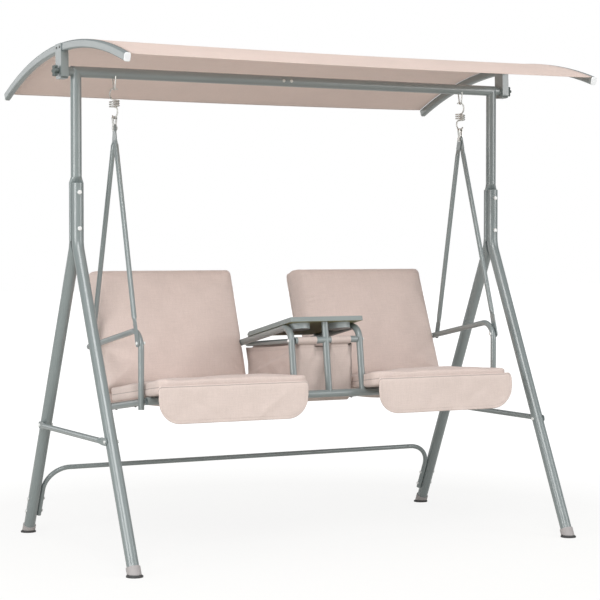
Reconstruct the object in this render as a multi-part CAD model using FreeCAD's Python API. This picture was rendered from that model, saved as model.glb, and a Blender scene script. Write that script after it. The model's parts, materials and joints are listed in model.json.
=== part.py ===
import FreeCAD, Part
import math
import os

os.makedirs("parts", exist_ok=True)
V = FreeCAD.Vector

# Driving dimensions in millimetres: X runs across the seat, the front faces -Y, Z is up from the floor.
fit_gap = 0.2            # between pieces that are bolted or pushed together
run_gap = 0.3            # between pieces that move on each other, and round soft pieces
hole_gap = 0.3           # between a bolt and the edge of its hole
head_height_ratio = 0.55   # of a bolt's head to its shank's diameter
head_radius_ratio = 0.9
head_round_ratio = 0.6     # of the rounding to the head's height
nut_height_ratio = 0.7
nut_radius_ratio = 0.85

# Ground frame
leg_plane = 790.0        # from the middle to each pair of legs
foot_spread = 477.0      # from the middle to a foot, front and rear
leg_diameter = 38.0
leg_wall = 1.5
leg_bend_height = 989.0
leg_bend_radius = 120.0
leg_top = 1185.0
stub_offset = 10.0       # from the post's middle plane to the axis of a leg top
blade_thickness = 10.0   # pressed lower end of the post
blade_width = 49.0
blade_bottom = 1000.0
press_length = 20.0      # over which a round tube is pressed flat
post_diameter = 35.0
post_wall = 1.5
crossbar_height = 1539.0
sleeve_length = 200.0
sleeve_screw_near = 26.0
sleeve_screw_far = 55.0
sleeve_screw_length = 4.5
leg_bolt_diameter = 8.0
leg_bolt_upper = 1155.0
leg_bolt_lower = 1040.0
foot_wall = 3.0
foot_height = 30.0
foot_sole = 5.0
foot_flange_diameter = 52.0
foot_edge = 2.0
brace_height = 386.0
brace_diameter = 18.0
brace_wall = 1.2
brace_flat = 28.0        # from a brace's bolt to where its pressed end starts to open
stretcher_height = 230.0
stretcher_end_height = 62.0
stretcher_diameter = 16.0
stretcher_bend_radius = 85.0
stretcher_bolt_inset = 16.0
stretcher_bolt_pitch = 44.0
side_bolt_diameter = 6.0

# Spring eyes, springs and straps
hang_plane = 659.0       # from the middle to each spring
eye_wire = 4.5
eye_drop = 52.0          # from the crossbar's axis to the wire's lowest point
eye_bend_radius = 6.0
eye_foot_half = 13.5
spring_wire = 5.0
spring_diameter = 35.0
spring_pitch = 7.2
spring_turns = 3
hook_shoulder = 18.0     # from the top of the upper hook to where it runs straight down
coil_drop = 40.0         # from the top of the upper hook to the first turn
hook_reach = 36.0        # from the last turn to the bottom of the lower hook
hook_bend = 11.5         # bend radius of the lower hook
hook_tip = 6.75          # reach of the upper hook past the eye
hook_tip_drop = 1.5
hook_throat = 16.0       # from the spring's axis to the wire above the lower hook
hook_end_reach = 12.0    # from the spring's axis to the end of the lower hook
hook_end_rise = 6.0
strap_thickness = 2.0
strap_width = 14.0
strap_loop = 11.0        # clear width inside the top of the strap
strap_length = 48.0
strap_bolt_drop = 38.0

# Hanger arms and armrests
arm_diameter = 16.0
arm_wall = 1.2
flat_thickness = 3.0     # of a tube end that is pressed flat
flat_width = 24.0
arm_top_flat = 38.0
arm_front_flat = 66.0
arm_rear_flat = 44.0
armrest_plane = 658.5
armrest_diameter = 19.0
armrest_wall = 1.2
armrest_slope = 10.0
armrest_height = 688.0   # of the rail's axis at the middle plane
armrest_bend_radius = 55.0
armrest_front = 216.0
armrest_rear = 232.0
armrest_foot = 472.0
arm_front_bolt_height = 680.0
arm_rear_bolt = 170.0

# Seat frame, slings and cushions
seat_slope = 7.6
back_lean = 19.7
beam_front = 236.0
beam_height = 500.0
beam_diameter = 25.0
beam_wall = 3.5
rail_diameter = 22.0
rail_wall = 1.0
rail_bend_radius = 45.0
inner_rail = 149.5       # from the middle to each inner rail
back_top = 866.0
seat_back_reach = 133.0  # from the middle plane back to where seat and back meet
sling_thickness = 2.0
screw_diameter = 4.0
sling_screw_front = 118.0   # from the middle plane to the sling's front screws
sling_screw_rear = 44.0
seat_cushion_front = 337.0
seat_cushion_inner = 122.0
seat_cushion_outer = 646.0
seat_cushion_rear = 112.0
seat_cushion_thickness = 47.0
back_cushion_inner = 120.0
back_cushion_outer = 660.0
back_cushion_start = 42.0   # from the seat's corner up to its lower edge
back_cushion_end = 30.0  # from the top bar's axis up to its upper edge
back_cushion_thickness = 50.0
back_cushion_taper = 16.0
back_cushion_draw = 10.0  # how far the front face is drawn in
pocket_depth = 28.0      # from the frame's middle plane to the back of the pocket
pocket_wall = 6.0        # of the cloth behind the frame
pocket_length = 156.0    # from the top bar's axis down to the pocket's lower edge
back_draw = 14.0         # how far the outer upright leans in at its top
back_kink = 172.0        # from the top bar's axis down to where it starts to lean
cushion_edge = 13.0      # how far the faces are drawn in from the seam
cushion_crown = 7.0
cushion_swell = 8.5      # from a face to where the side stands out most
cushion_turn = 3.8       # from a face to the end of its edge's rounding
cushion_shoulder = 40.0  # from the side to the first line of the crown
cushion_flat = 92.0      # from the side to the top of the crown
shoulder_rise = 5.0      # of the crown at its first line
seat_corner_round = 34.0
back_corner_round = 18.0
seam_draw = 3.0
flap_inner = 131.0
flap_outer = 651.5
flap_rise = 52.0         # from the beam's axis to the flap's upper edge
flap_drop = 66.0
flap_corner = 74.0
flap_upper_corner = 12.0
flap_thickness = 5.0
flap_wave = 4.0
flap_waves = 3

# Console, bag and table
console_diameter = 22.0
console_wall = 1.5
console_slope = 11.0
console_height = 682.5   # of the rail's axis at the middle plane
console_bend_radius = 45.0
console_rear = 236.0
bag_bar_height = 675.0
bag_rail_diameter = 16.0
bag_rail_plane = 104.0
bag_rail_slope = 4.5
bag_rail_rear = 186.0
bag_rear_lean = 16.0     # of the bag's rear wall
bag_rear_sleeve = 66.0   # half length of the sleeve on the rear bar
bag_hem_gap = 6.0        # from a side bar down to the cloth's edge
bag_rail_bend = 30.0
bag_wall = 2.5
bag_drop = 28.0          # from the beam's axis to the bag's floor
bag_corner = 18.0
sleeve_inner_end = 29.0
sleeve_outer_end = 92.0
table_width = 270.0
table_length = 325.0
table_thickness = 15.0
table_front = 228.0
table_corner = 6.0
table_rim = 9.0
table_recess = 3.0
cup_diameter = 72.0
cup_depth = 31.0
cup_wall = 2.0
cup_flange = 4.0
cup_plane = 76.0
cup_setback = 62.0       # from the table's front edge to the middle of a cup holder
hinge_setback = 7.0      # from the table's rear edge to the hinge axis
hinge_eye = 12.0
hinge_width = 6.0
hinge_pin = 6.0
hinge_pin_end = 2.4      # how far a pin stands out of its ears

# Canopy
canopy_offset = 46.0     # from the legs' plane to the middle of each bar
canopy_bar_width = 20.0
canopy_bar_height = 27.0
canopy_bar_wall = 1.5
canopy_bar_corner = 6.0
canopy_radius = 1551.0   # of the bar's middle line
canopy_rise = 74.0       # from the pivot to the bar's middle line
canopy_half_span = 542.0
canopy_tilt = 2.0        # front up
canopy_cloth = 2.5
canopy_cloth_drop = 1.5  # from the top of the bar to the top of the cloth
bracket_wall = 2.5
bracket_depth = 50.0
bracket_foot = 25.0      # from the pivot to the lower end
bracket_corner = 12.0
bracket_screw_offset = 14.0
bracket_screw_length = 5.0
cap_plate = 4.0
cap_plug = 12.0
cap_edge = 1.6
pivot_diameter = 8.0
pivot_head_height = 5.0
pivot_head_gap = 2.4     # between the bolt's head and the inside of the post
collar_diameter = 30.0
knob_diameter = 38.0
knob_length = 16.0
knob_lobes = 6
knob_lobe = 10.0
knob_plate = 10.0        # thickness of the lobed plate
knob_hub = 18.0          # diameter of the neck that bears on the bracket
knob_grip = 10.0         # length of bolt inside the knob
knob_web = 1.5           # how far the middle disc stays inside the lobes' circle

canopy_plane = leg_plane + canopy_offset
flap_top = beam_height + flap_rise
flap_bottom = beam_height - flap_drop
bag_bottom = beam_height - bag_drop
leg_radius = leg_diameter / 2
post_radius = post_diameter / 2
rail_radius = rail_diameter / 2
armrest_radius = armrest_diameter / 2
console_radius = console_diameter / 2
beam_radius = beam_diameter / 2
wire_radius = spring_wire / 2
reach = 2000.0           # larger than the object, for cutting solids
nodes = {}


# Helpers

def tangent(degrees):
    return math.tan(math.radians(degrees))


def unit(vector):
    return vector * (1 / vector.Length)


def bar(start, end, radius):
    return Part.makeCylinder(radius, (end - start).Length, start, end - start)


def mirrored(shape):
    return shape.mirror(V(0, 0, 0), V(1, 0, 0))


def both_sides(name, right_shape):
    nodes["right_" + name] = right_shape
    nodes["left_" + name] = mirrored(right_shape)


def block(x0, x1, y0, y1, z0, z1):
    return Part.makeBox(x1 - x0, y1 - y0, z1 - z0, V(x0, y0, z0))


def corner_arc(before, corner, after, radius):
    # the arc that rounds a corner: its start, its middle and its end
    back = unit(before - corner)
    ahead = unit(after - corner)
    half = back.getAngle(ahead) / 2
    setback = radius / math.tan(half)
    centre = corner + unit(back + ahead) * (radius / math.sin(half))
    return corner + back * setback, centre + unit(corner - centre) * radius, corner + ahead * setback


def rounded_path(points, radius):
    # straight runs joined by arcs
    edges = []
    here = points[0]
    for before, corner, after in zip(points, points[1:], points[2:]):
        start, middle, end = corner_arc(before, corner, after, radius)
        edges.append(Part.LineSegment(here, start).toShape())
        edges.append(Part.Arc(start, middle, end).toShape())
        here = end
    edges.append(Part.LineSegment(here, points[-1]).toShape())
    return Part.Wire(edges)


def rounded_loop(points, *radii):
    # a closed outline with rounded corners, of one radius or of one for each corner
    count = len(points)
    sizes = radii if len(radii) == count else radii * count
    arcs = [corner_arc(points[i - 1], points[i], points[(i + 1) % count], sizes[i]) for i in range(count)]
    edges = []
    for i, (start, middle, end) in enumerate(arcs):
        edges.append(Part.Arc(start, middle, end).toShape())
        edges.append(Part.LineSegment(end, arcs[(i + 1) % count][0]).toShape())
    return Part.Wire(edges)


def sweep(path, radius):
    first = path.OrderedEdges[0]
    start = path.OrderedVertexes[0].Point
    heading = first.tangentAt(first.FirstParameter)
    ring = Part.Wire(Part.makeCircle(radius, start, heading))
    return path.makePipeShell([ring], True, False)


def tube(points, bend_radius, diameter, wall):
    path = rounded_path(points, bend_radius)
    return sweep(path, diameter / 2).cut(sweep(path, diameter / 2 - wall))


def straight_tube(start, end, diameter, wall):
    return bar(start, end, diameter / 2).cut(bar(start, end, diameter / 2 - wall))


def flat_ring(centre, thin, wide, thickness, width):
    # outline of a tube pressed flat: two straight sides and two round ends
    half = width / 2 - thickness / 2
    a = thin * (thickness / 2)
    b = wide * half
    tip = wide * (width / 2)
    edges = [
        Part.LineSegment(centre + a - b, centre + a + b).toShape(),
        Part.Arc(centre + a + b, centre + tip, centre - a + b).toShape(),
        Part.LineSegment(centre - a + b, centre - a - b).toShape(),
        Part.Arc(centre - a - b, centre - tip, centre + a - b).toShape(),
    ]
    return Part.Wire(edges)


def round_ring(centre, thin, wide, radius):
    # the round outline in four arcs that answer those of the flat one
    a = thin * (radius * 0.5)
    b = wide * (radius * math.sqrt(0.75))
    edges = [
        Part.Arc(centre + a - b, centre + thin * radius, centre + a + b).toShape(),
        Part.Arc(centre + a + b, centre + wide * radius, centre - a + b).toShape(),
        Part.Arc(centre - a + b, centre - thin * radius, centre - a - b).toShape(),
        Part.Arc(centre - a - b, centre - wide * radius, centre + a - b).toShape(),
    ]
    return Part.Wire(edges)


def flat_end(bolt_point, heading, length):
    # pressed end of a strut: a plate round its bolt, flat across X
    side = V(1, 0, 0).cross(heading)
    thick = V(flat_thickness, 0, 0)
    base = bolt_point - thick * 0.5
    far = base + heading * length
    half = side * (flat_width / 2)
    corners = [base - half, far - half, far + half, base + half, base - half]
    plate = Part.Face(Part.makePolygon(corners)).extrude(thick)
    return plate.fuse(bar(base, base + thick, flat_width / 2))


def strut(start, end, start_flat, end_flat, diameter, wall):
    # tube with both ends pressed flat, between two bolts along X
    heading = unit(V(0, end.y - start.y, end.z - start.z))
    side = V(1, 0, 0).cross(heading)
    a = start + heading * start_flat
    b = end - heading * end_flat
    a_round = a + heading * press_length
    b_round = b - heading * press_length
    thin = V(1, 0, 0)
    radius = diameter / 2
    solid = flat_end(start, heading, start_flat).fuse(flat_end(end, heading * -1, end_flat))
    for flat, ring in ((a, a_round), (b, b_round)):
        sections = [flat_ring(flat, thin, side, flat_thickness, flat_width), round_ring(ring, thin, side, radius)]
        solid = solid.fuse(Part.makeLoft(sections, True, True))
    rings = [round_ring(point, thin, side, radius) for point in (a_round, b_round)]
    cores = [round_ring(point, thin, side, radius - wall) for point in (a_round, b_round)]
    solid = solid.fuse(Part.makeLoft(rings, True, True))
    solid = solid.cut(Part.makeLoft(cores, True, True))
    for point in (start, end):
        solid = solid.cut(bolt_hole(point, V(1, 0, 0), side_bolt_diameter))
    return solid


def bolt_hole(point, axis, diameter):
    half = axis * (leg_diameter + post_diameter)
    return bar(point - half, point + half, diameter / 2 + hole_gap)


def bolt(head_point, heading, grip, diameter, nut=True):
    # round-headed bolt with its nut, the head's seat at head_point
    head_height = diameter * head_height_ratio
    head_top = head_point - heading * head_height
    head = bar(head_point, head_top, diameter * head_radius_ratio)
    rim = [e for e in head.Edges if e.Closed and (e.CenterOfMass - head_top).Length < head_height / 2]
    head = head.makeFillet(head_height * head_round_ratio, rim)
    solid = head.fuse(bar(head_point, head_point + heading * grip, diameter / 2))
    if nut:
        seat = head_point + heading * grip
        nut_end = seat + heading * (diameter * nut_height_ratio)
        solid = solid.fuse(bar(seat, nut_end, diameter * nut_radius_ratio))
    return solid


def strip(points, bend_radius, thickness, x0, x1):
    # bent sheet: a path in the side view with an even thickness, drawn out along X
    half = thickness / 2
    outer = rounded_path(offset_path(points, half), bend_radius + half)
    inner = rounded_path(offset_path(points, -half), bend_radius - half)
    ends = [
        Part.LineSegment(outer.OrderedVertexes[0].Point, inner.OrderedVertexes[0].Point).toShape(),
        Part.LineSegment(outer.OrderedVertexes[-1].Point, inner.OrderedVertexes[-1].Point).toShape(),
    ]
    outline = Part.Wire(Part.__sortEdges__(outer.Edges + inner.Edges + ends))
    sheet = Part.Face(outline).extrude(V(x1 - x0, 0, 0))
    sheet.translate(V(x0, 0, 0))
    return sheet


def offset_path(points, distance):
    # a path of three points in the plane x = 0, moved sideways
    first = unit(points[1] - points[0])
    second = unit(points[2] - points[1])
    normals = [V(0, -way.z, way.y) for way in (first, second)]
    corner = unit(normals[0] + normals[1])
    stretch = distance / corner.dot(normals[0])
    return [points[0] - normals[0] * distance, points[1] - corner * stretch, points[2] - normals[1] * distance]


def turned(shape, point, degrees):
    shape = shape.copy()
    shape.rotate(point, V(1, 0, 0), degrees)
    return shape


# Ground frame

leg_run = (foot_spread - stub_offset) / leg_bend_height


def leg_y(height):
    # distance of a leg's axis from the middle plane, below its bend
    return foot_spread - leg_run * height


def leg_core(side, radius, flat, top):
    # one leg's outside or inside, cut square at the floor and flat against the blade
    x = leg_plane
    below = -leg_diameter
    points = [
        V(x, side * leg_y(below), below),
        V(x, side * stub_offset, leg_bend_height),
        V(x, side * stub_offset, top),
    ]
    solid = sweep(rounded_path(points, leg_bend_radius), radius)
    y0, y1 = sorted((side * flat, side * reach))
    return solid.common(block(x - leg_diameter, x + leg_diameter, y0, y1, foot_sole, top))


def leg(side):
    flat = blade_thickness / 2 + fit_gap / 2
    solid = leg_core(side, leg_radius, flat, leg_top)
    solid = solid.cut(leg_core(side, leg_radius - leg_wall, flat + leg_wall, leg_top - leg_wall))
    for height in (leg_bolt_upper, leg_bolt_lower):
        solid = solid.cut(bolt_hole(V(leg_plane, 0, height), V(0, 1, 0), leg_bolt_diameter))
    solid = solid.cut(bolt_hole(brace_point(side), V(1, 0, 0), side_bolt_diameter))
    if side > 0:
        for height in stretcher_bolt_heights:
            solid = solid.cut(bolt_hole(V(leg_plane, leg_y(height), height), V(1, 0, 0), side_bolt_diameter))
    return solid


def foot_cap(side):
    heading = unit(V(0, -side * leg_run, 1))
    base = V(leg_plane, side * foot_spread, 0)
    start = base - heading * leg_diameter
    end = base + heading * foot_height
    cup = bar(start, end, leg_radius + foot_wall)
    hollow = bar(start, end + heading, leg_radius + fit_gap)
    everywhere = block(0, reach, -reach, reach, 0, reach)
    flange = bar(base, base + V(0, 0, foot_sole), foot_flange_diameter / 2)
    rim = [e for e in flange.Edges if e.Closed and e.CenterOfMass.z > foot_sole / 2]
    flange = flange.makeFillet(foot_edge, rim)
    inside = hollow.common(block(0, reach, -reach, reach, foot_sole, reach))
    return cup.common(everywhere).fuse(flange).cut(inside)


def mitre_prism(below):
    # everything on one side of the corner's weld plane
    x, z = leg_plane, crossbar_height
    far = reach
    away = far if below else -far
    corners = [V(x - far, 0, z - far), V(x + far, 0, z + far), V(x + far + away, 0, z + far - away),
               V(x - far + away, 0, z - far - away), V(x - far, 0, z - far)]
    prism = Part.Face(Part.makePolygon(corners)).extrude(V(0, 2 * far, 0))
    prism.translate(V(0, -far, 0))
    return prism


def upper_core(inset, blade_start):
    # outside or inside of the welded post and half crossbar
    x = leg_plane
    thin, wide = V(0, 1, 0), V(1, 0, 0)
    radius = post_radius - inset
    sizes = (blade_thickness - 2 * inset, blade_width - 2 * inset)
    foot = V(x, 0, blade_start)
    flat = V(x, 0, leg_top)
    neck = V(x, 0, leg_top + press_length)
    blade = Part.Face(flat_ring(foot, thin, wide, *sizes)).extrude(flat - foot)
    press = Part.makeLoft([flat_ring(flat, thin, wide, *sizes), round_ring(neck, thin, wide, radius)], True, True)
    corner = V(x, 0, crossbar_height)
    post = bar(neck, corner + V(0, 0, post_diameter), radius).common(mitre_prism(True))
    beam = bar(V(fit_gap / 2, 0, crossbar_height), corner + V(post_diameter, 0, 0), radius)
    return blade.fuse([press, post, beam.common(mitre_prism(False))])


def upper_frame():
    solid = upper_core(0, blade_bottom).cut(upper_core(post_wall, blade_bottom + post_wall))
    for height in (leg_bolt_upper, leg_bolt_lower):
        solid = solid.cut(bolt_hole(V(leg_plane, 0, height), V(0, 1, 0), leg_bolt_diameter))
    pivot = V(leg_plane, 0, crossbar_height)
    return solid.cut(bar(pivot, pivot + V(post_diameter, 0, 0), pivot_diameter / 2 + hole_gap))


def sleeve_screws():
    screws = []
    for offset in (sleeve_screw_near, sleeve_screw_far):
        seat = V(-offset, -post_radius, crossbar_height)
        screws.append(bolt(seat, V(0, 1, 0), sleeve_screw_length, side_bolt_diameter, nut=False))
    return screws


def brace_point(side):
    return V(leg_plane, side * leg_y(brace_height), brace_height)


def brace():
    outside = V(leg_radius + flat_thickness / 2 + fit_gap, 0, 0)
    start = brace_point(-1) + outside
    end = brace_point(1) + outside
    return strut(start, end, brace_flat, brace_flat, brace_diameter, brace_wall)


def brace_bolts():
    bolts = []
    seat_x = leg_radius + flat_thickness + fit_gap
    for side in (-1, 1):
        bolts.append(bolt(brace_point(side) + V(seat_x, 0, 0), V(-1, 0, 0), seat_x + leg_radius, side_bolt_diameter))
    return bolts


stretcher_radius = stretcher_diameter / 2
stretcher_plane = leg_plane - leg_radius - stretcher_radius - fit_gap
stretcher_bolt_first = stretcher_end_height + stretcher_bolt_inset
stretcher_bolt_heights = (stretcher_bolt_first, stretcher_bolt_first + stretcher_bolt_pitch)


def stretcher():
    end = V(stretcher_plane, leg_y(stretcher_end_height), stretcher_end_height)
    corner = V(stretcher_plane, leg_y(stretcher_height), stretcher_height)
    points = [end, corner, V(-corner.x, corner.y, corner.z), V(-end.x, end.y, end.z)]
    solid = tube(points, stretcher_bend_radius, stretcher_diameter, brace_wall)
    for height in stretcher_bolt_heights:
        for side in (-1, 1):
            point = V(side * stretcher_plane, leg_y(height), height)
            half = V(stretcher_diameter, 0, 0)
            solid = solid.cut(bar(point - half, point + half, side_bolt_diameter / 2 + hole_gap))
    return solid


def stretcher_bolts():
    bolts = []
    for height in stretcher_bolt_heights:
        seat = V(stretcher_plane - stretcher_radius, leg_y(height), height)
        grip = leg_plane + leg_radius - seat.x
        bolts.append(bolt(seat, V(1, 0, 0), grip, side_bolt_diameter))
    return bolts


def leg_bolts():
    bolts = []
    front = stub_offset + leg_radius
    for height in (leg_bolt_upper, leg_bolt_lower):
        bolts.append(bolt(V(leg_plane, -front, height), V(0, 1, 0), 2 * front, leg_bolt_diameter))
    return bolts


def spring_eye():
    # V-shaped wire welded under the crossbar, in the plane of the swing
    centre = V(hang_plane, 0, crossbar_height - eye_drop + eye_bend_radius)
    foot = V(hang_plane, -eye_foot_half, crossbar_height - post_radius * 0.5)
    span = foot - centre
    opening = math.acos(eye_bend_radius / span.Length)
    angle = math.atan2(span.z, span.y) + opening
    touch = centre + V(0, math.cos(angle), math.sin(angle)) * eye_bend_radius
    other_touch = V(touch.x, -touch.y, touch.z)
    other_foot = V(foot.x, -foot.y, foot.z)
    path = Part.Wire([
        Part.LineSegment(foot, touch).toShape(),
        Part.Arc(touch, centre - V(0, 0, eye_bend_radius), other_touch).toShape(),
        Part.LineSegment(other_touch, other_foot).toShape(),
    ])
    crossbar = bar(V(0, 0, crossbar_height), V(leg_plane, 0, crossbar_height), post_radius + fit_gap)
    return sweep(path, eye_wire / 2).cut(crossbar)


def pivot_bolt():
    # bolt through the frame's corner with a collar that holds the bracket off the post
    x_bracket = canopy_plane - canopy_bar_width / 2 - fit_gap - bracket_wall - run_gap
    x_knob = canopy_plane + canopy_bar_width / 2 + fit_gap + bracket_wall + run_gap
    at = V(0, 0, crossbar_height)
    head_end = leg_plane + post_radius - post_wall - pivot_head_gap
    head_start = head_end - pivot_head_height
    head = bar(at + V(head_start, 0, 0), at + V(head_end, 0, 0), pivot_diameter * head_radius_ratio)
    shank = bar(at + V(head_end, 0, 0), at + V(x_knob + knob_grip, 0, 0), pivot_diameter / 2)
    collar = bar(at + V(leg_plane, 0, 0), at + V(x_bracket, 0, 0), collar_diameter / 2)
    post = bar(V(leg_plane, 0, leg_top), V(leg_plane, 0, crossbar_height + post_diameter), post_radius + fit_gap)
    bore = bar(at + V(leg_plane, 0, 0), at + V(x_bracket, 0, 0), pivot_diameter / 2)
    return collar.cut(post).cut(bore).fuse(shank).fuse(head)


for name, side in (("front_leg", -1), ("rear_leg", 1)):
    both_sides(name, leg(side))
caps = [foot_cap(side) for side in (-1, 1)]
nodes["foot_caps"] = Part.makeCompound(caps + [mirrored(cap) for cap in caps])
both_sides("upper_frame", upper_frame())
screws = sleeve_screws()
sleeve_end = V(sleeve_length / 2, 0, crossbar_height)
sleeve_start = V(-sleeve_length / 2, 0, crossbar_height)
sleeve = straight_tube(sleeve_start, sleeve_end, post_diameter - 2 * post_wall - 2 * fit_gap, post_wall)
for offset in (sleeve_screw_near, sleeve_screw_far):
    seat = V(-offset, -post_radius, crossbar_height)
    hole = bar(seat - V(0, 1, 0), seat + V(0, post_radius, 0), side_bolt_diameter / 2 + hole_gap)
    sleeve = sleeve.cut(hole)
    nodes["left_upper_frame"] = nodes["left_upper_frame"].cut(hole)
nodes["crossbar_sleeve"] = sleeve
nodes["crossbar_screws"] = Part.makeCompound(screws)
both_sides("side_brace", brace())
nodes["rear_stretcher"] = stretcher()
frame_bolts = {"leg_bolts": leg_bolts(), "brace_bolts": brace_bolts(), "stretcher_bolts": stretcher_bolts()}
for name, bolts in frame_bolts.items():
    nodes[name] = Part.makeCompound(bolts + [mirrored(one) for one in bolts])
both_sides("spring_eye", spring_eye())
pivot = pivot_bolt()
nodes["pivot_bolts"] = Part.makeCompound([pivot, mirrored(pivot)])


# Springs and straps

hook_top = crossbar_height - eye_drop + eye_wire / 2 + wire_radius + run_gap
coil_radius = (spring_diameter - spring_wire) / 2
coil_top = hook_top - coil_drop
coil_bottom = coil_top - spring_turns * spring_pitch
hook_bottom = coil_bottom - hook_reach
coil_start = math.radians(70)


def coil_point(turn):
    angle = coil_start + 2 * math.pi * turn
    return V(coil_radius * math.cos(angle), coil_radius * math.sin(angle), coil_top - spring_pitch * turn)


def coil_heading(turn):
    angle = coil_start + 2 * math.pi * turn
    around = 2 * math.pi * coil_radius
    return unit(V(-around * math.sin(angle), around * math.cos(angle), -spring_pitch))


def arc_from(start, elbow, end):
    # arc that leaves start towards the elbow and reaches end coming from it
    middle = (start + end) * 0.5
    half = (end - start).Length / 2
    rise = elbow - middle
    turn = math.atan2(rise.Length, half)
    return Part.Arc(start, middle + unit(rise) * (half * math.tan(turn / 2)), end).toShape()


def biarc(start, start_way, end, end_way):
    # two arcs that join two points with given headings
    span = end - start
    way = start_way + end_way
    spread = 2 * (1 - start_way.dot(end_way))
    root = math.sqrt(span.dot(way) ** 2 + spread * span.dot(span))
    length = (root - span.dot(way)) / spread
    first = start + start_way * length
    second = end - end_way * length
    joint = (first + second) * 0.5
    return [arc_from(start, first, joint), arc_from(joint, second, end)]


def spring_path():
    # upper hook over the eye, the turns, then the lower hook through the strap
    stations = [
        (V(-hook_tip, 0, hook_top - hook_tip_drop), unit(V(1, 0, 0.45))),
        (V(0, 0, hook_top), V(1, 0, 0)),
        (V(coil_radius, 0, hook_top - hook_shoulder), V(0, 0, -1)),
    ]
    stations += [(coil_point(half / 2), coil_heading(half / 2)) for half in range(2 * spring_turns + 1)]
    stations += [
        (V(-hook_throat / 4, hook_throat, hook_bottom + hook_reach / 2), unit(V(0.1, -0.1, -1))),
        (V(0, 0, hook_bottom), V(0, -1, 0)),
        (V(0, -hook_end_reach, hook_bottom + hook_end_rise), unit(V(0, -1, 0.9))),
    ]
    first_point, first_way = stations[0]
    last_point, last_way = stations[-1]
    edges = [Part.LineSegment(first_point - first_way * spring_wire, first_point).toShape()]
    for (start, start_way), (end, end_way) in zip(stations, stations[1:]):
        edges += biarc(start, start_way, end, end_way)
    edges.append(Part.LineSegment(last_point, last_point + last_way * spring_wire).toShape())
    return Part.Wire(edges)


def least_self_gap(path):
    # smallest clear space between parts of the wire that are not neighbours along it
    points = path.discretize(Number=500)
    step = path.Length / (len(points) - 1)
    skip = int(3.2 * spring_wire / step)
    least = min((points[i] - points[j]).Length for i in range(len(points)) for j in range(i + skip, len(points)))
    return least - spring_wire


path = spring_path()
print("spring: least gap to itself %.2f mm" % least_self_gap(path))
spring = sweep(path, wire_radius)
right_spring = spring.copy()
right_spring.translate(V(hang_plane, 0, 0))
left_spring = spring.copy()
left_spring.rotate(V(0, 0, 0), V(0, 0, 1), 180)
left_spring.translate(V(-hang_plane, 0, 0))
nodes["right_spring"] = right_spring
nodes["left_spring"] = left_spring

strap_rise = hook_bend - math.sqrt(hook_bend ** 2 - (strap_width / 2) ** 2)
strap_inside = hook_bottom + wire_radius + strap_rise + run_gap
strap_bolt_height = strap_inside + strap_thickness - strap_bolt_drop


def strap_outline(inset):
    # folded strip from the front: round top, sides drawn together on the arm ends
    top = strap_inside + inset
    radius = strap_loop / 2 + inset
    centre = V(hang_plane, 0, top - radius)
    low = flat_thickness + fit_gap + inset
    z_low = strap_bolt_height + flat_width / 2
    z_end = strap_inside + strap_thickness - strap_length
    points = [centre + V(radius, 0, 0), V(hang_plane + low, 0, z_low), V(hang_plane + low, 0, z_end),
              V(hang_plane - low, 0, z_end), V(hang_plane - low, 0, z_low), centre - V(radius, 0, 0)]
    edges = [Part.LineSegment(a, b).toShape() for a, b in zip(points, points[1:])]
    edges.append(Part.Arc(points[-1], centre + V(0, 0, radius), points[0]).toShape())
    return Part.Face(Part.Wire(edges)).extrude(V(0, strap_width, 0))


def hanger_strap():
    inside = strap_outline(0)
    below = block(0, reach, 0, strap_width, 0, strap_inside + strap_thickness - strap_length + fit_gap)
    solid = strap_outline(strap_thickness).cut(inside).cut(below)
    solid.translate(V(0, -strap_width / 2, 0))
    return solid.cut(bolt_hole(V(hang_plane, 0, strap_bolt_height), V(1, 0, 0), side_bolt_diameter))


both_sides("hanger_strap", hanger_strap())


# Armrests and hanger arms

def armrest_z(y):
    return armrest_height - tangent(armrest_slope) * y


def armrest_bend_centre():
    y = -armrest_front + armrest_bend_radius
    return V(armrest_plane, y, armrest_z(y) - armrest_bend_radius / math.cos(math.radians(armrest_slope)))


def front_bolt_point():
    # on the armrest's axis, in its front bend
    centre = armrest_bend_centre()
    up = arm_front_bolt_height - centre.z
    return V(armrest_plane, centre.y - math.sqrt(armrest_bend_radius ** 2 - up ** 2), arm_front_bolt_height)


rear_bolt_point = V(armrest_plane, arm_rear_bolt, armrest_z(arm_rear_bolt))
arm_flat_offset = V(armrest_radius + flat_thickness / 2 + fit_gap, 0, 0)


def hanger_arm(low_point, top_offset, low_flat):
    top = V(hang_plane + top_offset, 0, strap_bolt_height)
    return strut(low_point + arm_flat_offset, top, low_flat, arm_top_flat, arm_diameter, arm_wall)


def hanger_bolts():
    seat_x = armrest_radius + flat_thickness + fit_gap
    grip = seat_x + armrest_radius
    bolts = [bolt(point + V(seat_x, 0, 0), V(-1, 0, 0), grip, side_bolt_diameter)
             for point in (front_bolt_point(), rear_bolt_point)]
    half = flat_thickness + fit_gap + strap_thickness
    top = V(hang_plane + half, 0, strap_bolt_height)
    return bolts + [bolt(top, V(-1, 0, 0), 2 * half, side_bolt_diameter)]


arm_top_offset = flat_thickness / 2 + fit_gap / 2
both_sides("front_hanger_arm", hanger_arm(front_bolt_point(), arm_top_offset, arm_front_flat))
both_sides("rear_hanger_arm", hanger_arm(rear_bolt_point, -arm_top_offset, arm_rear_flat))
bolts = hanger_bolts()
nodes["hanger_bolts"] = Part.makeCompound(bolts + [mirrored(one) for one in bolts])

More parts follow.
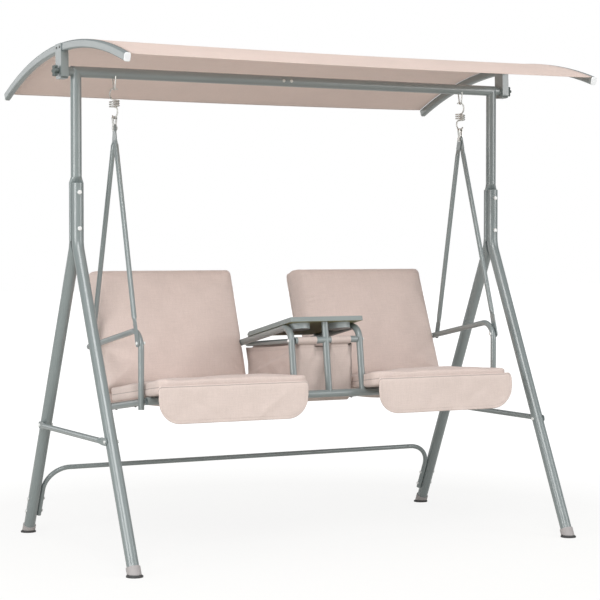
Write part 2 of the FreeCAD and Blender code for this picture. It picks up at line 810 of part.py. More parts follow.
armrest_points = [
    V(armrest_plane, armrest_rear, armrest_z(armrest_rear)),
    V(armrest_plane, -armrest_front, armrest_z(-armrest_front)),
    V(armrest_plane, -armrest_front, armrest_foot),
]
armrest = tube(armrest_points, armrest_bend_radius, armrest_diameter, armrest_wall)
for point in (front_bolt_point(), rear_bolt_point):
    half = V(armrest_diameter, 0, 0)
    armrest = armrest.cut(bar(point - half, point + half, side_bolt_diameter / 2 + hole_gap))
both_sides("armrest", armrest)


# Seat frames, beam and tie

outer_rail = armrest_plane - armrest_radius - rail_radius - fit_gap


def rail_z(y):
    return beam_height - tangent(seat_slope) * (y + beam_front)


seat_corner = V(0, seat_back_reach, rail_z(seat_back_reach))
back_way = V(0, math.sin(math.radians(back_lean)), math.cos(math.radians(back_lean)))
back_peak = seat_corner + back_way * ((back_top - seat_corner.z) / back_way.z)
kink = back_peak - back_way * back_kink
beam_front_point = V(0, -beam_front, beam_height)
beam_room = bar(beam_front_point - V(leg_plane, 0, 0), beam_front_point + V(leg_plane, 0, 0), beam_radius + fit_gap)


def seat_frame():
    points = [point + V(outer_rail, 0, 0) for point in (beam_front_point, seat_corner, kink)]
    points.append(back_peak + V(outer_rail - back_draw, 0, 0))
    inner = [point + V(inner_rail, 0, 0) for point in (back_peak, seat_corner, beam_front_point)]
    return tube(points + inner, rail_bend_radius, rail_diameter, rail_wall).cut(beam_room)


both_sides("seat_frame", seat_frame())
beam_half = armrest_plane - armrest_radius - fit_gap
beam = straight_tube(V(-beam_half, -beam_front, beam_height), V(beam_half, -beam_front, beam_height),
                     beam_diameter, beam_wall)
nodes["front_beam"] = beam
tie_y = seat_corner.y - rail_bend_radius
tie_half = inner_rail - rail_radius - fit_gap
nodes["rear_tie"] = straight_tube(V(-tie_half, tie_y, rail_z(tie_y)), V(tie_half, tie_y, rail_z(tie_y)),
                                  rail_diameter, rail_wall)


# Slings, screws and cushions

seat_way = V(0, math.cos(math.radians(seat_slope)), -math.sin(math.radians(seat_slope)))
seat_up = V(0, math.sin(math.radians(seat_slope)), math.cos(math.radians(seat_slope)))
console_plane = inner_rail - rail_radius - console_radius - fit_gap
leg_way = seat_up


def console_z(y):
    return console_height - tangent(console_slope) * y


def sling():
    # one cloth per seat, over the rails and up the back
    side_path = [beam_front_point + seat_way * (beam_radius + fit_gap + run_gap), seat_corner, back_peak]
    lift = rail_radius + run_gap + sling_thickness / 2
    points = offset_path(side_path, -lift)
    edge = outer_rail + rail_radius / 2
    cloth = strip(points, rail_bend_radius - lift, sling_thickness, inner_rail - rail_radius / 2, edge)
    corners = [V(edge, 0, kink.z), V(edge - back_draw, 0, back_top), V(edge - back_draw, 0, reach),
               V(reach, 0, reach), V(reach, 0, kink.z), V(edge, 0, kink.z)]
    return cloth.cut(Part.Face(Part.makePolygon(corners)).extrude(V(0, reach, 0)))


both_sides("sling", sling())


def sling_screws():
    screws = []
    for x in (inner_rail, outer_rail):
        for y in (-sling_screw_front, sling_screw_rear):
            seat = V(x, y, rail_z(y)) - seat_up * (rail_radius)
            screws.append(bolt(seat, seat_up, rail_wall, screw_diameter, nut=False))
    return screws


screws = sling_screws()
nodes["sling_screws"] = Part.makeCompound(screws + [mirrored(one) for one in screws])
for side in ("left", "right"):
    frame = nodes[side + "_seat_frame"]
    sign = -1 if side == "left" else 1
    for x in (inner_rail, outer_rail):
        for y in (-sling_screw_front, sling_screw_rear):
            seat = V(sign * x, y, rail_z(y)) - seat_up * rail_radius
            frame = frame.cut(bar(seat - seat_up, seat + seat_up * rail_radius, screw_diameter / 2 + hole_gap))
    nodes[side + "_seat_frame"] = frame


def cushion_ring(width, length, inset, height, taper, corner):
    # outline of a cushion at one height, narrower towards its far end on the outer side
    corners = [V(inset, inset, height), V(width - inset, inset, height),
               V(width - inset - taper, length - inset, height), V(inset, length - inset, height)]
    return rounded_loop(corners, corner)


def cushion(width, length, thickness, taper, draw, corner):
    # two halves sewn at a drawn-in seam; the upper face is drawn in and swells to a crown
    half = thickness / 2
    steps = [(half, seam_draw), (cushion_swell, 0), (cushion_turn, cushion_edge / 4), (0, cushion_edge)]
    lower = [cushion_ring(width, length, inset, height, taper, corner) for height, inset in steps]
    upper = [cushion_ring(width, length, inset + draw * (1 - height / half), thickness - height, taper, corner)
             for height, inset in steps]
    for inset, rise in ((cushion_shoulder, shoulder_rise), (cushion_flat, cushion_crown)):
        upper.append(cushion_ring(width, length, inset + draw, thickness + rise, taper, corner))
    return Part.makeLoft(lower, True, True).fuse(Part.makeLoft(upper, True, True))


cloth_lift = rail_radius + sling_thickness + 2 * run_gap
back_front = cloth_lift + back_cushion_thickness + cushion_crown + run_gap


def seat_cushion_solid():
    # its rear end lies against the back cushion, and the console's front leg stands in a notch
    length = (seat_cushion_rear + seat_cushion_front) / seat_way.y
    width = seat_cushion_outer - seat_cushion_inner
    pad = turned(cushion(width, length, seat_cushion_thickness, 0, 0, seat_corner_round), V(0, 0, 0), -seat_slope)
    pad.translate(V(seat_cushion_inner, -seat_cushion_front, rail_z(-seat_cushion_front)) + seat_up * cloth_lift)
    behind = turned(block(-reach, reach, -reach, reach, -reach, back_front), V(0, 0, 0), 90 - back_lean)
    behind.translate(seat_corner)
    foot = beam_front_point + V(console_plane, 0, 0)
    return pad.cut(behind).cut(bar(foot, foot + leg_way * reach, console_radius + run_gap))


def back_cushion_solid():
    # its upper part is a pocket that slips over the top of the seat frame
    bottom = back_cushion_start
    top = (back_peak - seat_corner).Length
    width = back_cushion_outer - back_cushion_inner
    rear = pocket_depth + cloth_lift
    pad = cushion(width, top + back_cushion_end - bottom, rear + back_cushion_thickness, back_cushion_taper,
                  back_cushion_draw, back_corner_round)
    pad.translate(V(back_cushion_inner, bottom, -pocket_depth))
    pad = pad.cut(block(-reach, reach, -reach, top - pocket_length, -reach, cloth_lift))
    room = rail_radius + run_gap
    near, far, upper = inner_rail - room, outer_rail + room, top + room
    low = rail_bend_radius
    behind = pocket_wall - pocket_depth
    corners = [V(near, low, behind), V(far, low, behind), V(far, top - back_kink, behind),
               V(far - back_draw, upper, behind), V(near, upper, behind), V(near, low, behind)]
    pad = pad.cut(Part.Face(Part.makePolygon(corners)).extrude(V(0, 0, cloth_lift - behind)))
    pad = turned(pad, V(0, 0, 0), 90 - back_lean)
    pad.translate(seat_corner)
    grooves = ((console_plane, console_radius, console_z), (armrest_plane, armrest_radius, armrest_z))
    for plane, radius, height in grooves:
        ends = [V(plane, y, height(y)) for y in (0, 2 * armrest_rear)]
        pad = pad.cut(bar(ends[0], ends[1], radius + run_gap))
    nut = V(side_bolt_diameter, 0, 0)
    inside = rear_bolt_point - V(armrest_radius, 0, 0)
    return pad.cut(bar(inside - nut, inside + nut, side_bolt_diameter))


seat_cushion = seat_cushion_solid()
both_sides("seat_cushion", seat_cushion)
both_sides("back_cushion", back_cushion_solid())


def flap():
    # cloth hanging in front of the cushion, in long shallow waves, cut out with rounded corners
    front = seat_cushion.BoundBox.YMin - run_gap - flap_thickness - flap_wave
    start = flap_inner - flap_upper_corner
    width = (flap_outer + flap_upper_corner - start) / (2 * flap_waves)
    edges = []
    for shift in (0, flap_thickness):
        for i in range(2 * flap_waves):
            x0 = start + i * width
            bulge = flap_wave if i % 2 else 0
            y0 = front + flap_wave / 2 + shift
            points = (V(x0, y0, 0), V(x0 + width / 2, front + bulge + shift, 0), V(x0 + width, y0, 0))
            edges.append(Part.Arc(*points).toShape())
    y0 = front + flap_wave / 2
    for x in (start, flap_outer + flap_upper_corner):
        edges.append(Part.LineSegment(V(x, y0, 0), V(x, y0 + flap_thickness, 0)).toShape())
    plan = Part.Face(Part.Wire(Part.__sortEdges__(edges)))
    cloth = plan.extrude(V(0, 0, flap_top + flap_upper_corner))
    corners = [V(flap_inner, 0, flap_bottom), V(flap_outer, 0, flap_bottom),
               V(flap_outer, 0, flap_top), V(flap_inner, 0, flap_top)]
    shape = rounded_loop(corners, flap_corner, flap_corner, flap_upper_corner, flap_upper_corner)
    return cloth.common(Part.Face(shape).extrude(V(0, -reach, 0)))


both_sides("front_flap", flap())


# Console, bag and table

def console_corner():
    # where the front leg's line meets the rail's line
    start = beam_front_point
    slope = tangent(console_slope)
    run = (console_z(start.y) - start.z) / (leg_way.z + slope * leg_way.y)
    return start + leg_way * run


rail_way = unit(V(0, 1, -tangent(console_slope)))
rail_up = V(0, -rail_way.z, rail_way.y)
table_base = V(0, -table_front, console_z(-table_front)) + rail_up * (console_radius + fit_gap)
hinge_point = table_base + rail_way * (table_length + hinge_setback) + rail_up * (table_thickness / 2)
bag_bar_point = beam_front_point + leg_way * ((bag_bar_height - beam_height) / leg_way.z)


def hinge_lug(x_middle, width, root):
    # rounded ear round the hinge axis, standing on root
    half = V(width / 2, 0, 0)
    eye = bar(hinge_point - half + V(x_middle, 0, 0), hinge_point + half + V(x_middle, 0, 0), hinge_eye / 2)
    side = unit(root - hinge_point).cross(V(1, 0, 0)) * (hinge_eye / 2)
    corners = [hinge_point + side, root + side, root - side, hinge_point - side, hinge_point + side]
    web = Part.Face(Part.makePolygon(corners)).extrude(half * 2)
    web.translate(V(x_middle - width / 2, 0, 0))
    pin_room = bar(hinge_point + V(x_middle - width, 0, 0), hinge_point + V(x_middle + width, 0, 0),
                   hinge_pin / 2 + run_gap)
    return eye.fuse(web).cut(pin_room)


def console_rail():
    points = [V(0, console_rear, console_z(console_rear)), console_corner(), beam_front_point]
    points = [point + V(console_plane, 0, 0) for point in points]
    path = rounded_path(points, console_bend_radius)
    solid = sweep(path, console_radius)
    root = hinge_point - rail_up * (table_thickness / 2 + fit_gap + console_radius)
    solid = solid.fuse(hinge_lug(console_plane, hinge_width, root))
    solid = solid.cut(sweep(path, console_radius - console_wall)).cut(beam_room)
    end = bag_bar_point + V(console_plane, 0, 0)
    hole = bar(end - V(console_diameter, 0, 0), end + V(console_diameter, 0, 0), side_bolt_diameter / 2 + hole_gap)
    return solid.cut(hole)


both_sides("console_rail", console_rail())


def console_post():
    # middle post with the bar that carries the bag's front edge
    underside = table_base - rail_up * run_gap
    run = (underside - beam_front_point).dot(rail_up) / leg_way.dot(rail_up)
    top = beam_front_point + leg_way * (run + console_diameter)
    above = Part.makeBox(reach, reach, reach, V(-reach / 2, -reach / 2, 0))
    above = turned(above, V(0, 0, 0), -console_slope)
    above.translate(underside)
    half = console_plane - console_radius - fit_gap
    post = bar(beam_front_point, top, console_radius)
    cross = bar(bag_bar_point - V(half, 0, 0), bag_bar_point + V(half, 0, 0), console_radius)
    hollow = bar(beam_front_point, top, console_radius - console_wall)
    hollow_cross = bar(bag_bar_point - V(half, 0, 0), bag_bar_point + V(half, 0, 0), console_radius - console_wall)
    return post.fuse(cross).cut(hollow).cut(hollow_cross).cut(above).cut(beam_room)


nodes["console_post"] = console_post()


def console_bolts():
    seat = bag_bar_point + V(console_plane + console_radius, 0, 0)
    return [bolt(seat, V(-1, 0, 0), console_diameter + 3 * fit_gap, side_bolt_diameter, nut=False)]


bolts = console_bolts()
nodes["console_bolts"] = Part.makeCompound(bolts + [mirrored(one) for one in bolts])

bag_rail_radius = bag_rail_diameter / 2


def bag_rail_z(y):
    return bag_bar_point.z - tangent(bag_rail_slope) * (y - bag_bar_point.y)


def bag_rail_path():
    x = bag_rail_plane
    front = V(x, bag_bar_point.y, bag_bar_point.z)
    rear = V(x, bag_rail_rear, bag_rail_z(bag_rail_rear))
    points = [front, rear, V(-x, rear.y, rear.z), V(-x, front.y, front.z)]
    return rounded_path(points, bag_rail_bend)


front_bar_ends = [bag_bar_point - V(leg_plane, 0, 0), bag_bar_point + V(leg_plane, 0, 0)]
front_bar_room = bar(front_bar_ends[0], front_bar_ends[1], console_radius + fit_gap)
rail_path = bag_rail_path()
bag_rail = sweep(rail_path, bag_rail_radius).cut(sweep(rail_path, bag_rail_radius - console_wall))
nodes["bag_rail"] = bag_rail.cut(front_bar_room)


def storage_bag():
    # open-topped cloth bag with a leaning rear wall, hung by sleeves on the front and rear bars
    front = bag_bar_point.y + console_radius + 2 * run_gap + bag_wall / 2
    half = bag_wall / 2
    rear_z = bag_rail_z(bag_rail_rear)

    def outline(grow, z):
        x = bag_rail_plane + grow
        rear = bag_rail_rear + tangent(bag_rear_lean) * (z - rear_z) + grow
        corners = [V(-x, front - grow, z), V(x, front - grow, z), V(x, rear, z), V(-x, rear, z)]
        return rounded_loop(corners, bag_corner + grow)

    def body(grow, bottom):
        return Part.makeLoft([outline(grow, bottom), outline(grow, bag_bar_height + console_radius)], True, True)

    def above(drop):
        room = turned(Part.makeBox(reach, reach, reach, V(-reach / 2, -reach / 2, 0)), V(0, 0, 0), -bag_rail_slope)
        room.translate(bag_bar_point - V(0, 0, drop))
        return room

    shell = body(half, bag_bottom).cut(body(-half, bag_bottom + bag_wall))
    solid = shell.cut(above(bag_rail_radius + bag_hem_gap))
    sleeves = [(bag_bar_point, side * sleeve_inner_end, side * sleeve_outer_end, console_radius) for side in (-1, 1)]
    rear_point = V(0, bag_rail_rear, rear_z)
    sleeves.append((rear_point, -bag_rear_sleeve, bag_rear_sleeve, bag_rail_radius))
    for middle, x0, x1, radius in sleeves:
        near, far = sorted((x0, x1))
        outside = radius + run_gap + bag_wall
        strip_room = block(near, far, middle.y - 2 * outside, middle.y + 2 * outside, bag_bottom + bag_wall, reach)
        solid = solid.fuse(shell.common(strip_room).cut(above(0)))
        solid = solid.fuse(bar(middle + V(near, 0, 0), middle + V(far, 0, 0), outside))
    solid = solid.cut(sweep(rail_path, bag_rail_radius + run_gap))
    return solid.cut(bar(front_bar_ends[0], front_bar_ends[1], console_radius + run_gap))


nodes["storage_bag"] = storage_bag()


def cup_middle(side):
    return table_base + rail_way * cup_setback + V(side * cup_plane, 0, 0)


def table_top():
    half = table_width / 2
    base = [V(-half, 0, 0), V(half, 0, 0), V(half, table_length, 0), V(-half, table_length, 0)]
    board = Part.Face(rounded_loop(base, table_corner)).extrude(V(0, 0, table_thickness))
    inner = [V(-half + table_rim, table_rim, 0), V(half - table_rim, table_rim, 0),
             V(half - table_rim, table_length - table_rim, 0), V(-half + table_rim, table_length - table_rim, 0)]
    recess = Part.Face(rounded_loop(inner, table_corner - table_rim * 0.5)).extrude(V(0, 0, table_thickness))
    recess.translate(V(0, 0, table_thickness - table_recess))
    board = turned(board.cut(recess), V(0, 0, 0), -console_slope)
    board.translate(table_base)
    for side in (-1, 1):
        middle = cup_middle(side)
        board = board.cut(bar(middle - rail_up, middle + rail_up * 2 * table_thickness, cup_diameter / 2 + fit_gap))
        x = side * (console_plane - hinge_width - run_gap)
        root = hinge_point - rail_way * (hinge_setback + hinge_eye / 2)
        board = board.fuse(hinge_lug(x, hinge_width, root))
    return board


def cup_holder(side):
    middle = cup_middle(side)
    rim = middle + rail_up * (table_thickness - table_recess + fit_gap)
    well = bar(rim - rail_up * cup_depth, rim + rail_up * cup_wall, cup_diameter / 2)
    flange = bar(rim, rim + rail_up * cup_wall, cup_diameter / 2 + cup_flange)
    inside = bar(rim - rail_up * (cup_depth - cup_wall), rim + rail_up * 2 * cup_wall, cup_diameter / 2 - cup_wall)
    return well.fuse(flange).cut(inside)


nodes["table_top"] = table_top()
nodes["cup_holders"] = Part.makeCompound([cup_holder(side) for side in (-1, 1)])
pin_start = hinge_point + V(console_plane + hinge_width / 2 + hinge_pin_end, 0, 0)
pin_end = hinge_point + V(console_plane - 1.5 * hinge_width - run_gap - hinge_pin_end, 0, 0)
pin = bar(pin_start, pin_end, hinge_pin / 2)
nodes["hinge_pins"] = Part.makeCompound([pin, mirrored(pin)])


# Canopy and knobs

pivot_point = V(0, 0, crossbar_height)
arch_centre = pivot_point - V(0, 0, canopy_radius - canopy_rise)
arch_angle = math.degrees(math.asin(canopy_half_span / canopy_radius))


def tilted(shape):
    return turned(shape, pivot_point, -canopy_tilt)


def bar_face(inset):
    # section of a canopy bar at the top of the arch
    w = canopy_bar_width / 2 - inset
    h = canopy_bar_height / 2 - inset
    x, z = canopy_plane, arch_centre.z + canopy_radius
    corners = [V(x - w, 0, z - h), V(x + w, 0, z - h), V(x + w, 0, z + h), V(x - w, 0, z + h)]
    return Part.Face(rounded_loop(corners, canopy_bar_corner - inset))


def arched(face, start, angle):
    return turned(face, arch_centre, start).revolve(arch_centre, V(1, 0, 0), angle)


def end_cap(side):
    # cover plate on the bar's end with a plug inside it
    plate = bar_face(0).extrude(V(0, cap_plate, 0))
    plug = bar_face(canopy_bar_wall + fit_gap).extrude(V(0, -cap_plug, 0))
    cap = plate.fuse(plug)
    edges = [e for e in cap.Edges if e.CenterOfMass.y > cap_plate * 0.99]
    cap = cap.makeFillet(cap_edge, edges)
    if side < 0:
        cap = cap.mirror(V(0, 0, 0), V(0, 1, 0))
    return turned(cap, arch_centre, -side * arch_angle)


def bracket():
    # folded steel shoe: it straddles the bar and hangs on the pivot
    x0 = canopy_plane - canopy_bar_width / 2 - fit_gap - bracket_wall
    x1 = canopy_plane + canopy_bar_width / 2 + fit_gap + bracket_wall
    depth = bracket_depth / 2
    low = crossbar_height - bracket_foot
    top = crossbar_height + canopy_rise + canopy_bar_height / 2 - canopy_cloth_drop
    round_top = top + 2 * bracket_corner
    corners = [V(x0, -depth, low), V(x0, depth, low), V(x0, depth, round_top), V(x0, -depth, round_top)]
    shoe = Part.Face(rounded_loop(corners, bracket_corner)).extrude(V(x1 - x0, 0, 0))
    shoe = shoe.cut(block(x0, x1, -reach, reach, top, reach))
    pocket = block(x0 + bracket_wall, x1 - bracket_wall, -depth + bracket_wall, depth - bracket_wall,
                   low + bracket_wall, reach)
    saddle_floor = crossbar_height + canopy_rise - canopy_bar_height / 2 - 2 * run_gap
    saddle = block(x0 + bracket_wall, x1 - bracket_wall, -reach, reach, saddle_floor, reach)
    shoe = shoe.cut(pocket).cut(saddle)
    hole = bar(V(x0 - 1, 0, crossbar_height), V(x1 + 1, 0, crossbar_height), pivot_diameter / 2 + run_gap)
    shoe = shoe.cut(hole)
    for seat in bracket_screw_seats():
        shoe = shoe.cut(bar(seat + V(1, 0, 0), seat - V(bracket_screw_length, 0, 0), screw_diameter / 2 + hole_gap))
    return shoe


def bracket_screw_seats():
    x = canopy_plane + canopy_bar_width / 2 + fit_gap + bracket_wall
    return [V(x, side * bracket_screw_offset, crossbar_height + canopy_rise) for side in (-1, 1)]


def knob():
    # lobed hand knob with a raised middle, blind bored for the bolt
    x = canopy_plane + canopy_bar_width / 2 + fit_gap + bracket_wall + run_gap
    at = V(x, 0, crossbar_height)
    way = V(1, 0, 0)
    ring = knob_diameter / 2 - knob_lobe / 2
    plate_start = at + way * (knob_length - knob_plate)
    solid = bar(plate_start, at + way * knob_length, ring - knob_web)
    for i in range(knob_lobes):
        angle = 2 * math.pi * i / knob_lobes
        centre = plate_start + V(0, ring * math.cos(angle), ring * math.sin(angle))
        solid = solid.fuse(bar(centre, centre + way * knob_plate, knob_lobe / 2))
    solid = solid.fuse(bar(at, at + way * knob_length, knob_hub / 2))
    return solid.cut(bar(at - way, at + way * (knob_grip + run_gap), pivot_diameter / 2 + hole_gap))


canopy_bar = arched(bar_face(0), -arch_angle, 2 * arch_angle)
canopy_bar = canopy_bar.cut(arched(bar_face(canopy_bar_wall), -arch_angle, 2 * arch_angle))
for seat in bracket_screw_seats():
    canopy_bar = canopy_bar.cut(bar(seat, seat - V(2 * bracket_screw_length, 0, 0), screw_diameter / 2 + hole_gap))
both_sides("canopy_bar", tilted(canopy_bar))
caps = [tilted(end_cap(side)) for side in (-1, 1)]
nodes["canopy_end_caps"] = Part.makeCompound(caps + [mirrored(cap) for cap in caps])
both_sides("canopy_bracket", tilted(bracket()))
screws = [tilted(bolt(seat, V(-1, 0, 0), bracket_screw_length, screw_diameter, nut=False))
          for seat in bracket_screw_seats()]
nodes["bracket_screws"] = Part.makeCompound(screws + [mirrored(one) for one in screws])
cloth_half = canopy_plane - canopy_bar_width / 2 - fit_gap
cloth_top = canopy_radius + canopy_bar_height / 2 - canopy_cloth_drop
cloth_z = arch_centre.z + cloth_top
cloth_face = Part.Face(Part.makePolygon([
    V(-cloth_half, 0, cloth_z - canopy_cloth), V(cloth_half, 0, cloth_z - canopy_cloth),
    V(cloth_half, 0, cloth_z), V(-cloth_half, 0, cloth_z), V(-cloth_half, 0, cloth_z - canopy_cloth)]))
shoe_half = bracket_depth / 2 + fit_gap
shoe_room = block(canopy_plane - canopy_bar_width / 2 - 2 * fit_gap - bracket_wall, reach, -shoe_half, shoe_half,
                  crossbar_height, reach)
cloth = arched(cloth_face, -arch_angle, 2 * arch_angle).cut(shoe_room).cut(mirrored(shoe_room))
nodes["canopy_fabric"] = tilted(cloth)
both_sides("knob", knob())


for name, shape in nodes.items():
    shape.exportStep("parts/%s.step" % name)
print("%d nodes" % len(nodes))
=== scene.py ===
import bpy
import json
import math
import numpy as np
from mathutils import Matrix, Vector


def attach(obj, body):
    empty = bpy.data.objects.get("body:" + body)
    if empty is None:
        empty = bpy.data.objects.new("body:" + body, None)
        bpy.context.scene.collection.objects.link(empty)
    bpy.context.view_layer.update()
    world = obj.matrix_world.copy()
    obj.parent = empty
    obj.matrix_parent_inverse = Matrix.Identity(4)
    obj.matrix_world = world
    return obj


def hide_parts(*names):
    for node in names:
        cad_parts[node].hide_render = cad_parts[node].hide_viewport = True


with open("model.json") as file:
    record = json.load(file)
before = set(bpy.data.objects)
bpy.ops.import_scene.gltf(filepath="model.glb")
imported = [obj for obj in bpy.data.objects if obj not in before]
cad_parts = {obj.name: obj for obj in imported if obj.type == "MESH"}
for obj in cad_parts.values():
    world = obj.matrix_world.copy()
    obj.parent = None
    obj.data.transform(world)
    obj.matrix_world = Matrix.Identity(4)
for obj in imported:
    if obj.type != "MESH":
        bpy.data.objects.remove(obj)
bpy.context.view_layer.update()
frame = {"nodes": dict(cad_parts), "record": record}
nodes = frame["nodes"]
print("frame loaded:", len(nodes), "nodes")


# small helpers for meshes

def toMesh(name, points, faces, body, smooth=True):  # one object from points and faces, riding on body
    mesh = bpy.data.meshes.new(name)
    mesh.from_pydata(np.asarray(points).tolist(), [], [list(f) for f in faces])
    mesh.update()
    piece = bpy.data.objects.new(name, mesh)
    bpy.context.scene.collection.objects.link(piece)
    mesh.polygons.foreach_set("use_smooth", np.full(len(mesh.polygons), smooth))
    if body:
        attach(piece, body)
    return piece


def gridFaces(rows, cols, closed=False):  # quads row by row; closed joins the last column to the first
    r = np.arange(rows - 1)[:, None]
    c = np.arange(cols if closed else cols - 1)[None, :]
    nxt = (c + 1) % cols
    quad = np.stack([r * cols + c, r * cols + nxt, (r + 1) * cols + nxt, (r + 1) * cols + c], -1)
    return quad.reshape(-1, 4)


def addUv(piece, uv):  # one uv pair per vertex, in metres on the cloth
    layer = piece.data.uv_layers.new(name="weave")
    corner = np.zeros(len(piece.data.loops), np.int32)
    piece.data.loops.foreach_get("vertex_index", corner)
    layer.data.foreach_set("uv", np.asarray(uv, np.float32)[corner].ravel())


def addValue(piece, name, values):  # one number per vertex that a material reads
    field = piece.data.attributes.new(name, "FLOAT", "POINT")
    field.data.foreach_set("value", np.asarray(values, np.float32))


def vertexArray(mesh):
    co = np.zeros(len(mesh.vertices) * 3)
    mesh.vertices.foreach_get("co", co)
    return co.reshape(-1, 3)


def thicken(piece, depth, offset=0.0):
    solid = piece.modifiers.new("thickness", "SOLIDIFY")
    solid.thickness = depth
    solid.offset = offset
    solid.use_rim = True


def refine(piece):
    sub = piece.modifiers.new("smooth", "SUBSURF")
    sub.levels = 1
    sub.render_levels = 1


def ripple(a, b, waves, seed=1.0):  # sum of sines over two coordinates; each wave is (size, ka, kb, phase)
    total = np.zeros(np.broadcast(a, b).shape)
    for size, ka, kb, phase in waves:
        total = total + size * np.sin(ka * a + kb * b + phase * seed)
    return total


def smoothStep(x, low, high):
    t = np.clip((x - low) / (high - low), 0, 1)
    return t * t * (3 - 2 * t)


def ridge(x, wide):  # 1 at zero, falling off over the given width
    return np.exp(-(x / wide) ** 2)


# materials

def newMaterial(name):
    mat = bpy.data.materials.new(name)
    mat.use_nodes = True
    tree = mat.node_tree
    shader = tree.nodes["Principled BSDF"]
    return mat, tree, shader


def link(tree, a, out, b, inp):
    tree.links.new(a.outputs[out], b.inputs[inp])


def noiseNode(tree, source, scale, detail=2.0, rough=0.5):
    node = tree.nodes.new("ShaderNodeTexNoise")
    node.inputs["Scale"].default_value = scale
    node.inputs["Detail"].default_value = detail
    node.inputs["Roughness"].default_value = rough
    tree.links.new(source, node.inputs["Vector"])
    return node


def rampNode(tree, source, stops):  # colour ramp from a list of (position, colour)
    node = tree.nodes.new("ShaderNodeValToRGB")
    ramp = node.color_ramp
    while len(ramp.elements) < len(stops):
        ramp.elements.new(0.5)
    for element, (position, colour) in zip(ramp.elements, stops):
        element.position = position
        element.color = (*colour, 1)
    tree.links.new(source, node.inputs["Fac"])
    return node


def mathNode(tree, operation, a, b=None):
    node = tree.nodes.new("ShaderNodeMath")
    node.operation = operation
    for slot, value in enumerate((a, b)):
        if value is None:
            continue
        if isinstance(value, (int, float)):
            node.inputs[slot].default_value = value
        else:
            tree.links.new(value, node.inputs[slot])
    return node.outputs[0]


def rangeNode(tree, source, fromLow, fromHigh, toLow, toHigh):
    node = tree.nodes.new("ShaderNodeMapRange")
    tree.links.new(source, node.inputs["Value"])
    for key, value in (("From Min", fromLow), ("From Max", fromHigh), ("To Min", toLow), ("To Max", toHigh)):
        node.inputs[key].default_value = value
    return node.outputs["Result"]


def bumpNode(tree, height, strength, distance, before=None):
    node = tree.nodes.new("ShaderNodeBump")
    node.inputs["Strength"].default_value = strength
    node.inputs["Distance"].default_value = distance
    tree.links.new(height, node.inputs["Height"])
    if before is not None:
        tree.links.new(before, node.inputs["Normal"])
    return node.outputs["Normal"]


def objectCoords(tree):
    return tree.nodes.new("ShaderNodeTexCoord").outputs["Object"]


def shade(colour, factor):
    return tuple(min(1.0, c * factor) for c in colour)


def coatedMetal(name, colour, rough, grain, under=None, coat=1.0):
    # powder coat: fine orange peel, faint clouding, uneven gloss
    mat, tree, shader = newMaterial(name)
    at = objectCoords(tree)
    cloud = noiseNode(tree, at, 9.0, 3.0)
    tint = rampNode(tree, cloud.outputs["Fac"], [(0.3, shade(colour, 0.97)), (0.7, shade(colour, 1.03))])
    if under is None:
        link(tree, tint, "Color", shader, "Base Color")
    else:  # painted shade: a darker olive colour on the faces that look down
        split = tree.nodes.new("ShaderNodeSeparateXYZ")
        tree.links.new(tree.nodes.new("ShaderNodeTexCoord").outputs["Normal"], split.inputs["Vector"])
        mix = tree.nodes.new("ShaderNodeMix")
        mix.data_type = "RGBA"
        tree.links.new(rangeNode(tree, split.outputs["Z"], -0.5, -0.8, 0, 1), mix.inputs["Factor"])
        link(tree, tint, "Color", mix, "A")
        mix.inputs["B"].default_value = (*under, 1)
        link(tree, mix, "Result", shader, "Base Color")
    peel = noiseNode(tree, at, grain, 2.0)
    gloss = noiseNode(tree, at, 30.0, 2.0)
    uneven = rangeNode(tree, gloss.outputs["Fac"], 0.3, 0.7, rough - 0.02, rough + 0.03)
    tree.links.new(uneven, shader.inputs["Roughness"])
    tree.links.new(bumpNode(tree, peel.outputs["Fac"], 0.03, 0.0003), shader.inputs["Normal"])
    shader.inputs["Specular IOR Level"].default_value = 0.7 * coat
    shader.inputs["Coat Weight"].default_value = coat
    shader.inputs["Coat Roughness"].default_value = 0.26
    return mat


def zincSteel(name, colour):  # bright zinc wire: drawn streaks and small dull spots
    mat, tree, shader = newMaterial(name)
    at = objectCoords(tree)
    spot = noiseNode(tree, at, 420.0, 3.0)
    tint = rampNode(tree, spot.outputs["Fac"], [(0.35, shade(colour, 0.78)), (0.62, colour)])
    link(tree, tint, "Color", shader, "Base Color")
    tree.links.new(rangeNode(tree, spot.outputs["Fac"], 0.3, 0.7, 0.42, 0.24), shader.inputs["Roughness"])
    shader.inputs["Metallic"].default_value = 0.9
    drawn = noiseNode(tree, at, 1500.0, 2.0)
    tree.links.new(bumpNode(tree, drawn.outputs["Fac"], 0.08, 0.0002), shader.inputs["Normal"])
    return mat


def mouldedPlastic(name, colour, rough, grain=700.0, rim=None):  # moulded plastic: fine pebble grain
    mat, tree, shader = newMaterial(name)
    at = objectCoords(tree)
    cloud = noiseNode(tree, at, 25.0, 2.0)
    tint = rampNode(tree, cloud.outputs["Fac"], [(0.3, shade(colour, 0.95)), (0.7, shade(colour, 1.04))])
    if rim is None:
        link(tree, tint, "Color", shader, "Base Color")
    else:  # dark band on the lowest 7 to 10 mm, just above the ground
        split = tree.nodes.new("ShaderNodeSeparateXYZ")
        tree.links.new(at, split.inputs["Vector"])
        mix = tree.nodes.new("ShaderNodeMix")
        mix.data_type = "RGBA"
        tree.links.new(rangeNode(tree, split.outputs["Z"], 0.007, 0.010, 1, 0), mix.inputs["Factor"])
        link(tree, tint, "Color", mix, "A")
        mix.inputs["B"].default_value = (*rim, 1)
        link(tree, mix, "Result", shader, "Base Color")
    pebble = tree.nodes.new("ShaderNodeTexVoronoi")
    pebble.inputs["Scale"].default_value = grain
    tree.links.new(at, pebble.inputs["Vector"])
    tree.links.new(bumpNode(tree, pebble.outputs["Distance"], 0.08, 0.0003), shader.inputs["Normal"])
    shader.inputs["Roughness"].default_value = rough
    return mat


